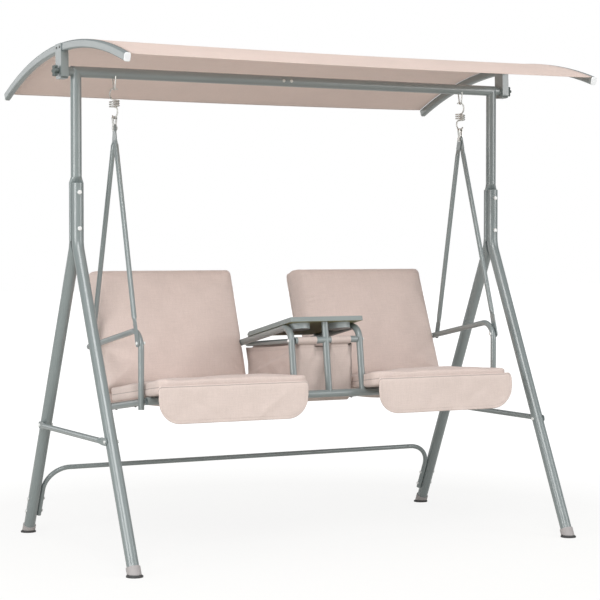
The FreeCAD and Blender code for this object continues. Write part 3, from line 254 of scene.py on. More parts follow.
def streakNode(tree, split, acrossX, acrossY):  # noise drawn out along one set of threads
    stretched = tree.nodes.new("ShaderNodeCombineXYZ")
    tree.links.new(mathNode(tree, "MULTIPLY", split.outputs["X"], acrossX), stretched.inputs["X"])
    tree.links.new(mathNode(tree, "MULTIPLY", split.outputs["Y"], acrossY), stretched.inputs["Y"])
    return noiseNode(tree, stretched.outputs["Vector"], 1.0, 3.0).outputs["Fac"]


def wovenCloth(name, colour, seams, thread=0.0016, through=0.0):
    # plain weave on the uv map: interlacing threads from two sines, slubs and linen streaks from noise,
    # painted shade along a seam crease, a stitched hem and a tucked edge where a named gap is small, and
    # light let through a thin sheet
    mat, tree, shader = newMaterial(name)
    uv = tree.nodes.new("ShaderNodeUVMap")
    uv.uv_map = "weave"
    split = tree.nodes.new("ShaderNodeSeparateXYZ")
    link(tree, uv, "UV", split, "Vector")
    turns = 2 * math.pi / thread
    warp = mathNode(tree, "SINE", mathNode(tree, "MULTIPLY", split.outputs["X"], turns))
    weft = mathNode(tree, "SINE", mathNode(tree, "MULTIPLY", split.outputs["Y"], turns))
    cross = mathNode(tree, "MULTIPLY", warp, weft)
    at = objectCoords(tree)
    broad = noiseNode(tree, at, 7.0, 4.0, 0.6)
    slub = noiseNode(tree, at, 260.0, 2.0)
    tint = rampNode(tree, broad.outputs["Fac"], [(0.28, shade(colour, 0.955)), (0.72, shade(colour, 1.03))])
    threadShade = tree.nodes.new("ShaderNodeMix")
    threadShade.data_type = "RGBA"
    threadShade.blend_type = "MULTIPLY"
    threadShade.inputs["Factor"].default_value = 1.0
    link(tree, tint, "Color", threadShade, "A")
    linen = mathNode(tree, "ADD", streakNode(tree, split, 22, 300), streakNode(tree, split, 300, 22))
    yarn = mathNode(tree, "ADD", mathNode(tree, "MULTIPLY", cross, 0.5), slub.outputs["Fac"])
    fleck = mathNode(tree, "ADD", yarn, mathNode(tree, "MULTIPLY", mathNode(tree, "ADD", linen, -1.0), 1.3))
    level = rangeNode(tree, fleck, -0.1, 1.1, 0, 1)
    grey = rampNode(tree, level, [(0.1, (0.895, 0.888, 0.882)), (0.9, (1, 1, 1))])
    link(tree, grey, "Color", threadShade, "B")
    final = threadShade.outputs["Result"]
    height = mathNode(tree, "ADD", cross, mathNode(tree, "MULTIPLY", slub.outputs["Fac"], 0.6))
    normal = bumpNode(tree, height, 0.25, 0.0003)
    # each named gap draws a painted shade line: darker colour plus a dent in the bump
    for field, width, dark in seams:
        mark = tree.nodes.new("ShaderNodeAttribute")
        mark.attribute_name = field
        gap = mathNode(tree, "ABSOLUTE", mark.outputs["Fac"])
        line = rangeNode(tree, gap, width * 0.4, width, 1, 0)
        mix = tree.nodes.new("ShaderNodeMix")
        mix.data_type = "RGBA"
        tree.links.new(mathNode(tree, "MULTIPLY", line, dark), mix.inputs["Factor"])
        tree.links.new(final, mix.inputs["A"])
        mix.inputs["B"].default_value = (*shade(colour, 0.34), 1)
        final = mix.outputs["Result"]
        normal = bumpNode(tree, mathNode(tree, "MULTIPLY", line, -1.0), 0.5, 0.0012, normal)
    if through:
        thin = tree.nodes.new("ShaderNodeBsdfTranslucent")
        thin.inputs["Color"].default_value = (*(math.sqrt(c) for c in colour), 1)  # light passes two faces
        blend = tree.nodes.new("ShaderNodeMixShader")
        blend.inputs["Fac"].default_value = through
        link(tree, shader, "BSDF", blend, 1)
        link(tree, thin, "BSDF", blend, 2)
        link(tree, blend, "Shader", tree.nodes["Material Output"], "Surface")
    tree.links.new(final, shader.inputs["Base Color"])
    tree.links.new(normal, shader.inputs["Normal"])
    shader.inputs["Roughness"].default_value = 0.88
    shader.inputs["Sheen Weight"].default_value = 0.18
    shader.inputs["Sheen Roughness"].default_value = 0.45
    shader.inputs["Specular IOR Level"].default_value = 0.2
    return mat


# the table board's second colour, on its downward faces, is painted olive shade
finish = dict(
    frameGrey=(0.218, 0.253, 0.253), zinc=(0.72, 0.72, 0.69), screw=(0.07, 0.07, 0.065),
    white=(0.80, 0.81, 0.80), foot=(0.40, 0.375, 0.37), rim=(0.06, 0.06, 0.06), cap=(0.82, 0.83, 0.84),
    knob=(0.11, 0.135, 0.13), table=(0.27, 0.305, 0.30), under=(0.30, 0.29, 0.17), cup=(0.40, 0.445, 0.455),
    cloth=(0.72, 0.60, 0.552), flap=(0.755, 0.637, 0.587), canopy=(0.86, 0.725, 0.662),
    sling=(0.66, 0.545, 0.495),
)
looks = {
    "frame_paint": coatedMetal("framePaint", finish["frameGrey"], 0.32, 1100.0),
    "zinc_steel": zincSteel("zincSteel", finish["zinc"]),
    "dark_screw": coatedMetal("darkScrew", finish["screw"], 0.45, 1500.0),
    "white_bolt": coatedMetal("whiteBolt", finish["white"], 0.35, 1400.0),
    "foot_plastic": mouldedPlastic("footPlastic", finish["foot"], 0.55, 700.0, finish["rim"]),
    "white_plastic": mouldedPlastic("capPlastic", finish["cap"], 0.4, 900.0),
    "knob_plastic": mouldedPlastic("knobPlastic", finish["knob"], 0.5),
    "table_plastic": coatedMetal("tableBoard", finish["table"], 0.5, 900.0, finish["under"], 0.15),
    "cup_plastic": mouldedPlastic("cupPlastic", finish["cup"], 0.35, 900.0),
}
clothLooks = {
    # the cushion seam line is painted shade in the crease
    "cushion": wovenCloth("cushionCloth", finish["cloth"], [("seamGap", 0.0013, 0.7)]),
    # the flap's top line is a painted shadow gap and its hem line faint painted shade
    "flap": wovenCloth("flapCloth", finish["flap"], [("hemGap", 0.0008, 0.12), ("topGap", 0.0016, 0.6)]),
    "canopy": wovenCloth("canopyCloth", finish["canopy"], [("hemGap", 0.0011, 0.25)], 0.0016, 0.43),
    "sling": wovenCloth("slingCloth", finish["sling"], [], 0.0022),
    "bag": wovenCloth("bagCloth", finish["cloth"], [("hemGap", 0.0009, 0.25)], 0.0016, 0.12),
}
slotOf = {row["node"]: row["material_slot"] for row in frame["record"]["subparts"]}
for name, node in nodes.items():
    if slotOf[name] in looks:
        node.data.materials.clear()
        node.data.materials.append(looks[slotOf[name]])
print("materials ready:", len(looks) + len(clothLooks))


# cushions: a rounded-rectangle loop carried from the rear face, round the side with its seam, to the front

seatPad = dict(
    inner=0.122, outer=0.646, start=0.0, end=0.4529, base=0.0, depth=0.047, crown=0.009, corner=0.034,
    edge=0.012, rearEdge=0.010, round=0.55, seam=0.002, seamAt=0.5, taper=0.0, draw=0.0, lean=7.6,
    origin=(-0.3352, 0.52696), cap=0.005, slide=0.0015, pinned=0.004,
)
backPad = dict(
    inner=0.120, outer=0.660, start=0.042, end=0.4711, base=-0.028, depth=0.0916, crown=0.009, corner=0.018,
    edge=0.030, rearEdge=0.006, round=0.12, seam=0.002, seamAt=0.16, taper=0.016, draw=0.004, lean=19.7,
    origin=(0.133, 0.45076), cap=0.005, slide=0.0015, pinned=0.018,
)
backFront = 0.0712  # from the back's middle plane to the front of the back cushion
pocket = dict(low=0.285, near=0.1375, far=0.6498, lean=0.014, kink=0.269, top=0.4535, rear=-0.0165,
              front=0.0131, hang=-0.2, reach=0.3)
padWaves = dict(
    face=((0.0016, 15, 6, 1.0), (0.0013, -9, 21, 2.3), (0.0008, 37, 29, 1.0), (0.0005, -63, 47, 1.0)),
    sides=((0.0008, 9, 290, 1.0), (0.0006, -7, 410, 3.0)),
    ends=((0.0007, 270, 11, 1.0), (0.0005, 390, -8, 2.0)),
    seam=((0.0007, 190, 0, 1.0), (0.00049, 310, 0, 2.0)),
)
gather = dict(b=0.345, x=0.034, tall=0.040, wide=0.026, right=0.0030, left=0.0006)  # puckers at the console
crease = dict(b=0.13, x=0.12, slope=0.45, wide=0.012, deep=0.0022, near=0.46, far=0.62)  # by the armrest
swell = dict(frames=20, quality=4, pressure=4.0, stiffness=12, bending=0.6, seamHold=0.004)
padMesh = dict(voxel=0.006, rim=0.86, valley=0.003, valleyDeep=0.0012)


def roundedLoop(width, length, corner, count):
    # even steps along a rectangle with round corners, from the middle of its lower side: points, normals, run
    runs = np.array([width / 2, length, width, length, width / 2]) - corner * np.array([1, 2, 2, 2, 1])
    bends = np.array([1, 1, 1, 1, 0]) * corner * math.pi / 2
    marks = np.concatenate([[0], np.cumsum(np.column_stack([runs, bends]).ravel())])
    run = np.linspace(0, marks[-2], count, endpoint=False)
    seg = np.searchsorted(marks, run, side="right") - 1
    along = run - marks[seg]
    side = seg // 2
    bent = seg % 2 == 1
    heading = side * math.pi / 2 + np.where(bent, along / corner, 0.0)
    way = np.column_stack([np.cos(heading), np.sin(heading)])
    out = np.column_stack([np.sin(heading), -np.cos(heading)])
    hubX = np.array([1, 1, -1, -1, -1])[side] * (width / 2 - corner)
    hubY = np.array([corner, length - corner, length - corner, corner, corner])[side]
    shift = np.where(bent, 0.0, along - np.where(side == 4, 0.0, runs[side]))
    return np.column_stack([hubX, hubY]) + out * corner + way * shift[:, None], out, run


def padAxes(form):  # unit vectors along the pad and out of its front face
    lean = math.radians(form["lean"])
    if form is seatPad:
        return np.array([0, math.cos(lean), -math.sin(lean)]), np.array([0, math.sin(lean), math.cos(lean)])
    return np.array([0, math.sin(lean), math.cos(lean)]), np.array([0, -math.cos(lean), math.sin(lean)])


def toWorld(form, local):
    along, out = padAxes(form)
    world = np.outer(local[:, 1], along) + np.outer(local[:, 2], out)
    world[:, 0] = local[:, 0]
    world[:, 1:] += form["origin"]
    return world


def toLocal(form, world):
    along, out = padAxes(form)
    rel = world - np.array([0, *form["origin"]])
    return np.column_stack([world[:, 0], rel @ along, rel @ out])


def padForm(form, seed):
    # s is 0 at the seam and 1 at a face: the height follows 1-(1-s)^1.6, the inset the seam and the edge
    width = form["outer"] - form["inner"]
    length = form["end"] - form["start"]
    loop, _, run = roundedLoop(width, length, form["corner"], 200)
    below = form["depth"] * form["seamAt"]
    above = form["depth"] - below
    s = np.linspace(0, 1, 13)
    rise = 1 - (1 - s) ** 1.6
    dip = form["seam"] * np.clip(1 - s / 0.2, 0, 1) ** 2
    rear = dip + form["rearEdge"] * np.clip((s - 0.4) / 0.6, 0, 1) ** 2.4
    bend = np.clip((s - form["round"]) / (1 - form["round"]), 0, 1) ** 2.4
    front = dip + form["edge"] * bend + form["draw"] * s
    fan = np.linspace(0, 0.94, 14)[1:]
    rings = [(rear[-1], 0.0, q) for q in fan[::-1]]
    rings += [(rear[i], below * (1 - rise[i]), 0.0) for i in range(12, -1, -1)]
    rings += [(front[i], below + above * rise[i], 0.0) for i in range(1, 13)]
    rings += [(front[-1], below + above + form["crown"] * (1 - (1 - q) ** 2.4), q) for q in fan]
    middle = np.array([0, length / 2])
    size = np.array([width, length]) / 2
    pucker = ripple(run, 0 * run, padWaves["seam"], seed)
    rows = []
    for draw, height, q in rings:
        flat = middle + (loop - middle) * (1 - draw / size) * (1 - q)
        flat[:, 0] += width / 2
        flat[:, 0] *= 1 - form["taper"] / width * flat[:, 1] / length
        rows.append(np.column_stack([flat, height + pucker * ridge(height - below, 0.010)]))
    return np.array(rows) + [form["inner"], form["start"], form["base"]]


def prismTool(name, corners, push):  # closed prism from a flat polygon and an extrusion
    corners = np.asarray(corners, float)
    if np.cross(corners[1] - corners[0], corners[2] - corners[1]) @ push < 0:
        corners = corners[::-1]
    count = len(corners)
    points = np.concatenate([corners, corners + push])
    faces = [list(range(count))[::-1], list(range(count, 2 * count))]
    faces += [[i, (i + 1) % count, count + (i + 1) % count, count + i] for i in range(count)]
    return toMesh(name, points, faces, None)


def rodTool(name, start, end, radius):
    start, end = np.asarray(start, float), np.asarray(end, float)
    way = (end - start) / np.linalg.norm(end - start)
    side = np.cross(way, [0.3, 0.5, 0.8])
    side /= np.linalg.norm(side)
    turn = np.linspace(0, 2 * math.pi, 28, endpoint=False)[:, None]
    circle = start + radius * (np.cos(turn) * side + np.sin(turn) * np.cross(way, side))
    return prismTool(name, circle, end - start)


consoleLeg = dict(start=(0.1273, -0.236, 0.5), end=(0.1273, -0.212, 0.68), radius=0.0118)
consoleTop = dict(start=(0.1273, 0.0, 0.6825), end=(0.1273, 0.3, 0.6242), radius=0.0118)
armTop = dict(start=(0.6585, 0.0, 0.688), end=(0.6585, 0.3, 0.6351), radius=0.0103)
armNut = dict(y=0.170, z=0.658, radius=0.010, depth=0.6405)


def padTools(form):  # what is cut out of a pad: the room of its neighbours
    tools = []
    if form is seatPad:
        rod = consoleLeg
        face = np.array([[-1, -0.5, 0], [2, -0.5, 0], [2, 0.5, 0], [-1, 0.5, 0]])
        face[:, 2] = backFront
        tools.append(prismTool("restPlane", toWorld(backPad, face)[::-1], -padAxes(backPad)[1]))
    else:
        rod = consoleTop
        p = pocket
        low = np.array([[0, p["hang"], 0], [1, p["hang"], 0], [1, p["low"], 0], [0, p["low"], 0]])
        low[:, 2] = p["front"]
        tools.append(prismTool("openRear", toWorld(form, low)[::-1], padAxes(form)[1] * -p["reach"]))
        room = np.array([[p["near"], 0.1, 0], [p["far"], 0.1, 0], [p["far"], p["kink"], 0],
                         [p["far"] - p["lean"], p["top"], 0], [p["near"], p["top"], 0]])
        room[:, 2] = p["rear"]
        tools.append(prismTool("frameRoom", toWorld(form, room), padAxes(form)[1] * (p["front"] - p["rear"])))
    tools.append(rodTool("rodRoom", rod["start"], rod["end"], rod["radius"]))
    return tools


def bakeMesh(piece):  # apply all modifiers into a new mesh
    mesh = bpy.data.meshes.new_from_object(piece.evaluated_get(bpy.context.evaluated_depsgraph_get()))
    piece.modifiers.clear()
    old = piece.data
    piece.data = mesh
    bpy.data.meshes.remove(old)
    return mesh


def simulatePad(piece, form):
    # swell the pad with a cloth run: seam and rear pinned, pressure inside, movement capped
    before = vertexArray(piece.data)
    local = toLocal(form, before)
    seamAt = form["base"] + form["depth"] * form["seamAt"]
    rearTop = max(form["base"] + form["pinned"], form["pinned"] - 0.002)
    held = np.where((np.abs(local[:, 2] - seamAt) < swell["seamHold"]) | (local[:, 2] < rearTop))[0]
    group = piece.vertex_groups.new(name="seam")
    group.add(held.tolist(), 1.0, "REPLACE")
    cloth = piece.modifiers.new("swell", "CLOTH")
    cloth.settings.quality = swell["quality"]
    cloth.settings.use_pressure = True
    cloth.settings.uniform_pressure_force = swell["pressure"]
    cloth.settings.effector_weights.gravity = 0.0
    cloth.settings.vertex_group_mass = "seam"
    cloth.settings.tension_stiffness = swell["stiffness"]
    cloth.settings.compression_stiffness = swell["stiffness"]
    cloth.settings.bending_stiffness = swell["bending"]
    cloth.point_cache.frame_start = 1
    cloth.point_cache.frame_end = swell["frames"]
    for step in range(swell["frames"]):
        bpy.context.scene.frame_set(step + 1)
    move = vertexArray(piece.evaluated_get(bpy.context.evaluated_depsgraph_get()).data) - before
    out = padAxes(form)[1]
    lift = move @ out
    flat = move - np.outer(lift, out)
    slide = np.linalg.norm(flat, axis=1)
    flat *= np.minimum(1, form["slide"] / np.maximum(slide, 1e-9))[:, None]
    piece.modifiers.remove(cloth)
    piece.vertex_groups.clear()
    bpy.context.scene.frame_set(1)
    return before + flat + np.outer(form["cap"] * np.tanh(lift / (4 * form["cap"])), out)


def clearOf(points, rod):  # push points out of a rod's room, square to its axis
    start, end = np.array(rod["start"]), np.array(rod["end"])
    way = (end - start) / np.linalg.norm(end - start)
    rel = points - start
    along = rel @ way
    radial = rel - np.outer(along, way)
    far = np.linalg.norm(radial, axis=1)
    inside = (far < rod["radius"]) & (along > 0) & (along < np.linalg.norm(end - start))
    points[inside] += radial[inside] * (rod["radius"] / np.maximum(far[inside], 1e-5) - 1)[:, None]


def clearRoom(form, world):  # room for the tubes and the nut that touch a pad
    if form is seatPad:
        clearOf(world, consoleLeg)
        return
    clearOf(world, consoleTop)
    clearOf(world, armTop)
    away = np.hypot(world[:, 1] - armNut["y"], world[:, 2] - armNut["z"])
    world[:, 0] = np.where(away < armNut["radius"], np.minimum(world[:, 0], armNut["depth"]), world[:, 0])


def wrinkle(form, local, seed, pull):
    # soft hollows over the face, plus short puckers square to the sides that fade within 40 mm of the edge
    face = smoothStep(local[:, 2], form["base"] + 0.62 * form["depth"], form["base"] + form["depth"])
    x, b = local[:, 0], local[:, 1]
    side = np.minimum(x - form["inner"], form["outer"] - x)
    end = np.minimum(b - form["start"], form["end"] - b)
    lift = ripple(x, b, padWaves["face"], seed)
    lift = lift + ripple(x, b, padWaves["sides"], seed) * np.exp(-side / 0.022)
    lift = lift + ripple(x, b, padWaves["ends"], seed) * np.exp(-end / 0.020)
    if form is backPad:
        spot = ridge(b - gather["b"], gather["tall"]) * ridge(x - form["inner"] - gather["x"], gather["wide"])
        lift = lift + pull * spot * np.sin(b * 420 - 90 * x + 1.4 * np.sin(x * 70))
        slant = b - crease["b"] - crease["slope"] * (x - form["outer"] + crease["x"])
        grow = smoothStep(x, crease["near"], crease["far"])
        lift = lift - crease["deep"] * ridge(slant, crease["wide"]) * grow
    return face * lift


def boxUv(piece, local):  # weave laid flat on whichever pad plane a face lies in most
    mesh = piece.data
    start = np.zeros(len(mesh.polygons), np.int32)
    mesh.polygons.foreach_get("loop_start", start)
    corner = np.zeros(len(mesh.loops), np.int32)
    mesh.loops.foreach_get("vertex_index", corner)
    size = np.diff(np.append(start, len(corner)))
    first, second, third = (local[corner[start + k]] for k in (0, 1, 2))
    plane = np.repeat(np.abs(np.cross(second - first, third - first)).argmax(1), size)
    pick = np.array([[1, 2], [0, 2], [0, 1]])[plane]
    layer = mesh.uv_layers.new(name="weave")
    layer.data.foreach_set("uv", np.take_along_axis(local[corner], pick, 1).astype(np.float32).ravel())


def makePad(name, form, side, seed, node):
    rows = padForm(form, seed)
    count, cols = rows.shape[:2]
    faces = gridFaces(count, cols, True).tolist()
    faces += [list(range(cols))[::-1], list(range((count - 1) * cols, count * cols))]
    piece = toMesh(name, toWorld(form, rows.reshape(-1, 3)), faces, None)
    tools = padTools(form)
    for tool in tools:
        cut = piece.modifiers.new("cut", "BOOLEAN")
        cut.operation = "DIFFERENCE"
        cut.solver = "EXACT"
        cut.object = tool
    remesh = piece.modifiers.new("even", "REMESH")
    remesh.mode = "VOXEL"
    remesh.voxel_size = padMesh["voxel"]
    mesh = bakeMesh(piece)
    for tool in tools:
        bpy.data.objects.remove(tool)
    co = simulatePad(piece, form)
    local = toLocal(form, co)
    local[:, 2] += wrinkle(form, local, seed, gather["right" if side > 0 else "left"])
    seamAt = form["base"] + form["depth"] * form["seamAt"]
    middle = np.array([form["inner"] + form["outer"], form["start"] + form["end"]]) / 2
    rel = local[:, :2] - middle
    half = np.array([form["outer"] - form["inner"], form["end"] - form["start"]]) / 2
    rim = np.abs(rel / half).max(1) > padMesh["rim"]
    valley = padMesh["valleyDeep"] * ridge(local[:, 2] - seamAt, padMesh["valley"]) * rim
    local[:, :2] -= rel / np.maximum(np.linalg.norm(rel, axis=1), 1e-6)[:, None] * valley[:, None]
    world = toWorld(form, local)
    clearRoom(form, world)
    world[:, 0] *= side
    mesh.vertices.foreach_set("co", world.ravel())
    if side < 0:
        mesh.flip_normals()
    mesh.update()
    mesh.polygons.foreach_set("use_smooth", np.ones(len(mesh.polygons), bool))
    # seamGap places the painted shade line in the seam's crease
    addValue(piece, "seamGap", np.where(rim, local[:, 2] - seamAt, 1.0))
    boxUv(piece, local)
    mesh.materials.clear()
    mesh.materials.append(clothLooks["cushion"])
    refine(piece)
    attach(piece, "swing_seat")
    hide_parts(node)


for side, word, seed in ((1, "right", 1.3), (-1, "left", 2.9)):
    makePad(word + "SeatCushion", seatPad, side, seed, word + "_seat_cushion")
    makePad(word + "BackCushion", backPad, side, seed + 0.8, word + "_back_cushion")
print("cushions ready")


# front flaps: a hanging sheet with round lower corners; its top tucks back into the cushion's seam

flap = dict(inner=0.131, outer=0.6515, top=0.5525, bottom=0.434, corner=0.074, upper=0.012, front=-0.3389,
            wave=0.0020, waves=2.5, thick=0.0028, hem=0.010, tuck=0.006, tuckFade=0.005, seamDrop=0.004,
            folds=((0.0016, 0.24, 1.2, 0.022), (-0.0018, 0.52, -1.5, 0.030)),
            soft=((0.0007, 37, 61, 1.0), (0.0005, 73, -38, 2.0)))


def makeFlap(side, word, seed):
    cols, rows = 160, 48
    u = np.linspace(0, 1, cols)
    x = flap["inner"] + u * (flap["outer"] - flap["inner"])
    edge = np.minimum(x - flap["inner"], flap["outer"] - x)
    drop = np.clip(flap["corner"] - edge, 0, None)
    low = flap["bottom"] + flap["corner"] - np.sqrt(flap["corner"] ** 2 - drop ** 2)
    dip = np.clip(flap["upper"] - edge, 0, None)
    high = flap["top"] - flap["upper"] + np.sqrt(flap["upper"] ** 2 - dip ** 2)
    v = np.linspace(0, 1, rows)[:, None] ** 1.3
    z = high + (low - high) * v
    grow = 0.15 + 0.85 * smoothStep(v, 0.0, 0.8)
    swing = flap["wave"] * np.sin(2 * math.pi * flap["waves"] * u + seed) + ripple(x, z, flap["soft"], seed)
    for deep, place, slope, wide in flap["folds"]:
        swing = swing - deep * ridge(x - place - slope * (0.5 - z), wide)
    y = flap["front"] + swing * grow + flap["tuck"] * np.exp(-(high - z) / flap["tuckFade"])
    points = np.stack([np.broadcast_to(side * x, z.shape), y, z], -1).reshape(-1, 3)
    faces = gridFaces(rows, cols)
    if side > 0:
        faces = faces[:, ::-1]
    piece = toMesh(word + "FrontFlap", points, faces, "swing_seat")
    addUv(piece, np.column_stack([np.broadcast_to(x, z.shape).ravel(), z.ravel()]))
    gap = np.minimum(z - low, edge[None, :])
    addValue(piece, "hemGap", (gap - flap["hem"]).ravel())
    # topGap places a painted shadow line where the flap's top tucks into the cushion's seam
    addValue(piece, "topGap", (high - z - flap["seamDrop"]).ravel())
    piece.data.materials.append(clothLooks["flap"])
    thicken(piece, flap["thick"])
    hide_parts(word + "_front_flap")


makeFlap(1, "right", 0.7)
makeFlap(-1, "left", 2.1)
print("flaps ready")


# canopy: one sheet on the arch, stretched between the bars, with a little slack beside them

canopy = dict(radius=1.5617, rise=0.0847, half=0.8254, depth=0.542, tilt=2.0, pivot=1.539, thick=0.0020,
              barRadius=1.551, hem=0.022, edgeLift=0.0022, edgeFade=0.015, sag=0.0035,
              notch=dict(deep=0.0026, near=0.026, far=0.032),  # where the brackets pass
              drum=((0.0012, 2.1, 46, 0.4), (0.0008, 5.3, 71, 1.9)))


def makeCanopy():
    cols, rows = 140, 110
    u = np.linspace(-1, 1, cols)[None, :]
    reach = math.asin(canopy["depth"] / canopy["barRadius"])
    angle = np.linspace(-reach, reach, rows)[:, None]
    y = canopy["radius"] * np.sin(angle) + 0 * u
    notch = canopy["notch"]
    wide = canopy["half"] - notch["deep"] * (1 - smoothStep(np.abs(y), notch["near"], notch["far"]))
    x = u * wide
    fromBar = canopy["half"] - np.abs(x)
    slack = np.exp(-fromBar / 0.10) * (1 - np.exp(-fromBar / 0.012))
    sag = canopy["sag"] * (1 - (x / canopy["half"]) ** 2) ** 1.5
    radius = canopy["radius"] + ripple(x, y, canopy["drum"]) * slack - sag
    radius = radius + canopy["edgeLift"] * np.exp(-fromBar / canopy["edgeFade"])
    low = canopy["pivot"] + canopy["rise"] - canopy["radius"]
    y = radius * np.sin(angle)
    z = low + radius * np.cos(angle)
    turn = math.radians(-canopy["tilt"])
    up = z - canopy["pivot"]
    points = np.stack([x, y * math.cos(turn) - up * math.sin(turn),
                       canopy["pivot"] + y * math.sin(turn) + up * math.cos(turn)], -1).reshape(-1, 3)
    piece = toMesh("canopySheet", points, gridFaces(rows, cols), "canopy")
    run = canopy["radius"] * angle + 0 * u
    addUv(piece, np.column_stack([x.ravel(), run.ravel()]))
    addValue(piece, "hemGap", (canopy["radius"] * reach - np.abs(run) - canopy["hem"]).ravel())
    piece.data.materials.append(clothLooks["canopy"])
    thicken(piece, canopy["thick"])
    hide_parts("canopy_fabric")


makeCanopy()
print("canopy ready")


# slings: one sheet per seat from the front beam over the bend and up the back, hollowed between the tubes

sling = dict(inner=0.144, outer=0.6433, lift=0.0123, bend=0.033, thick=0.0018, seatSag=0.022, backSag=0.009,
             lean=0.014, kink=0.704, peak=0.866, beam=(-0.236, 0.5), beamGap=0.013)


def makeSling(side, word):
    seatWay, seatUp = (v[1:] for v in padAxes(seatPad))
    backWay, backOut = (v[1:] for v in padAxes(backPad))
    backCorner = np.array(backPad["origin"])
    bend = sling["bend"]
    turn = math.radians(90 - backPad["lean"] + seatPad["lean"])
    corner = backCorner + (seatUp + backOut) / (1 + seatUp @ backOut) * sling["lift"]
    tangent = bend * math.tan(turn / 2)
    a = np.array(sling["beam"]) + seatWay * sling["beamGap"] + seatUp * sling["lift"]
    b = backCorner + backWay * ((sling["peak"] - backCorner[1]) / backWay[1]) + backOut * sling["lift"]
    firstRun = np.linalg.norm(corner - a) - tangent
    lastRun = np.linalg.norm(b - corner) - tangent
    total = firstRun + bend * turn + lastRun
    rows, cols = 120, 60
    s = np.linspace(0, total, rows)
    arc = np.clip((s - firstRun) / bend, 0, turn)
    centre = corner - seatWay * tangent + seatUp * bend
    onFirst = a + np.outer(np.minimum(s, firstRun), seatWay)
    onArc = centre + bend * (np.outer(np.sin(arc), seatWay) - np.outer(np.cos(arc), seatUp))
    onLast = corner + np.outer(s - firstRun - bend * turn + tangent, backWay)
    pastSeat = np.where((s < firstRun + bend * turn)[:, None], onArc, onLast)
    path = np.where((s < firstRun)[:, None], onFirst, pastSeat)
    normal = np.outer(np.cos(arc), seatUp) - np.outer(np.sin(arc), seatWay)
    u = np.linspace(0, 1, cols)
    draw = sling["lean"] * np.clip((path[:, 1] - sling["kink"]) / (sling["peak"] - sling["kink"]), 0, 1)
    x = sling["inner"] + np.outer(sling["outer"] - sling["inner"] - draw, u)
    depth = sling["seatSag"] + (sling["backSag"] - sling["seatSag"]) * arc / turn
    cup = smoothStep(u, 0.04, 0.5) * smoothStep(1 - u, 0.04, 0.5)
    hollow = np.outer(depth * smoothStep(s, 0.012, 0.15) * smoothStep(total - s, 0.02, 0.15), cup)
    y = path[:, 0][:, None] - normal[:, 0][:, None] * hollow
    z = path[:, 1][:, None] - normal[:, 1][:, None] * hollow
    points = np.stack([side * x, y, z], -1).reshape(-1, 3)
    faces = gridFaces(rows, cols)
    if side < 0:
        faces = faces[:, ::-1]
    piece = toMesh(word + "Sling", points, faces, "swing_seat")
    addUv(piece, np.column_stack([x.ravel(), np.broadcast_to(s[:, None], y.shape).ravel()]))
    piece.data.materials.append(clothLooks["sling"])
    thicken(piece, sling["thick"])
    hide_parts(word + "_sling")


makeSling(1, "right")
makeSling(-1, "left")
print("slings ready")


# storage bag: loop (u) by height (v); the front hangs from two sleeves, the sides sag below the bare bars

bag = dict(half=0.104, front=-0.1998, rear=0.186, rearHeight=0.6436, rearLean=16.0, floor=0.472, corner=0.012,
           barHeight=0.675, barY=-0.21265, slope=4.5, thick=0.0018, frontBar=0.011, rearBar=0.008,
           leftSleeve=(-0.107, -0.037), rightSleeve=(0.017, 0.090), rearSleeve=0.066, forward=0.0105,
           hem=0.0115, sag=0.004, side=0.006, frontDrop=0.024, frontRise=0.0115, rearDrop=0.012,
           rearRise=0.009, crease=0.0022, tuck=0.010, floorRings=16, floorGap=0.0015, floorSag=0.0006,
           slump=dict(top=0.650, fall=0.30, right=0.03), bulge=0.004, stitch=0.012, wall=0.175, floorCut=0.04,
           folds=((0.0011, 46, 70, 0.6), (0.0009, -71, 44, 2.0), (0.0006, 23, -130, 1.1)))
cuff = dict(gap=0.0005, lip=0.0022, lipWide=0.55, pucker=0.0005, turns=420, thick=0.0012)


def barTop(y):  # height of the side bars' axis
    return bag["barHeight"] - math.tan(math.radians(bag["slope"])) * (y - bag["barY"])


def onSleeve(x):  # 1 under the two front sleeves, 0 between and beside them
    share = 0 * x
    for first, last in (bag["leftSleeve"], bag["rightSleeve"]):
        inside = np.minimum(x - first, last - x)
        share = share + smoothStep(inside, -0.005, 0.009)
    return share


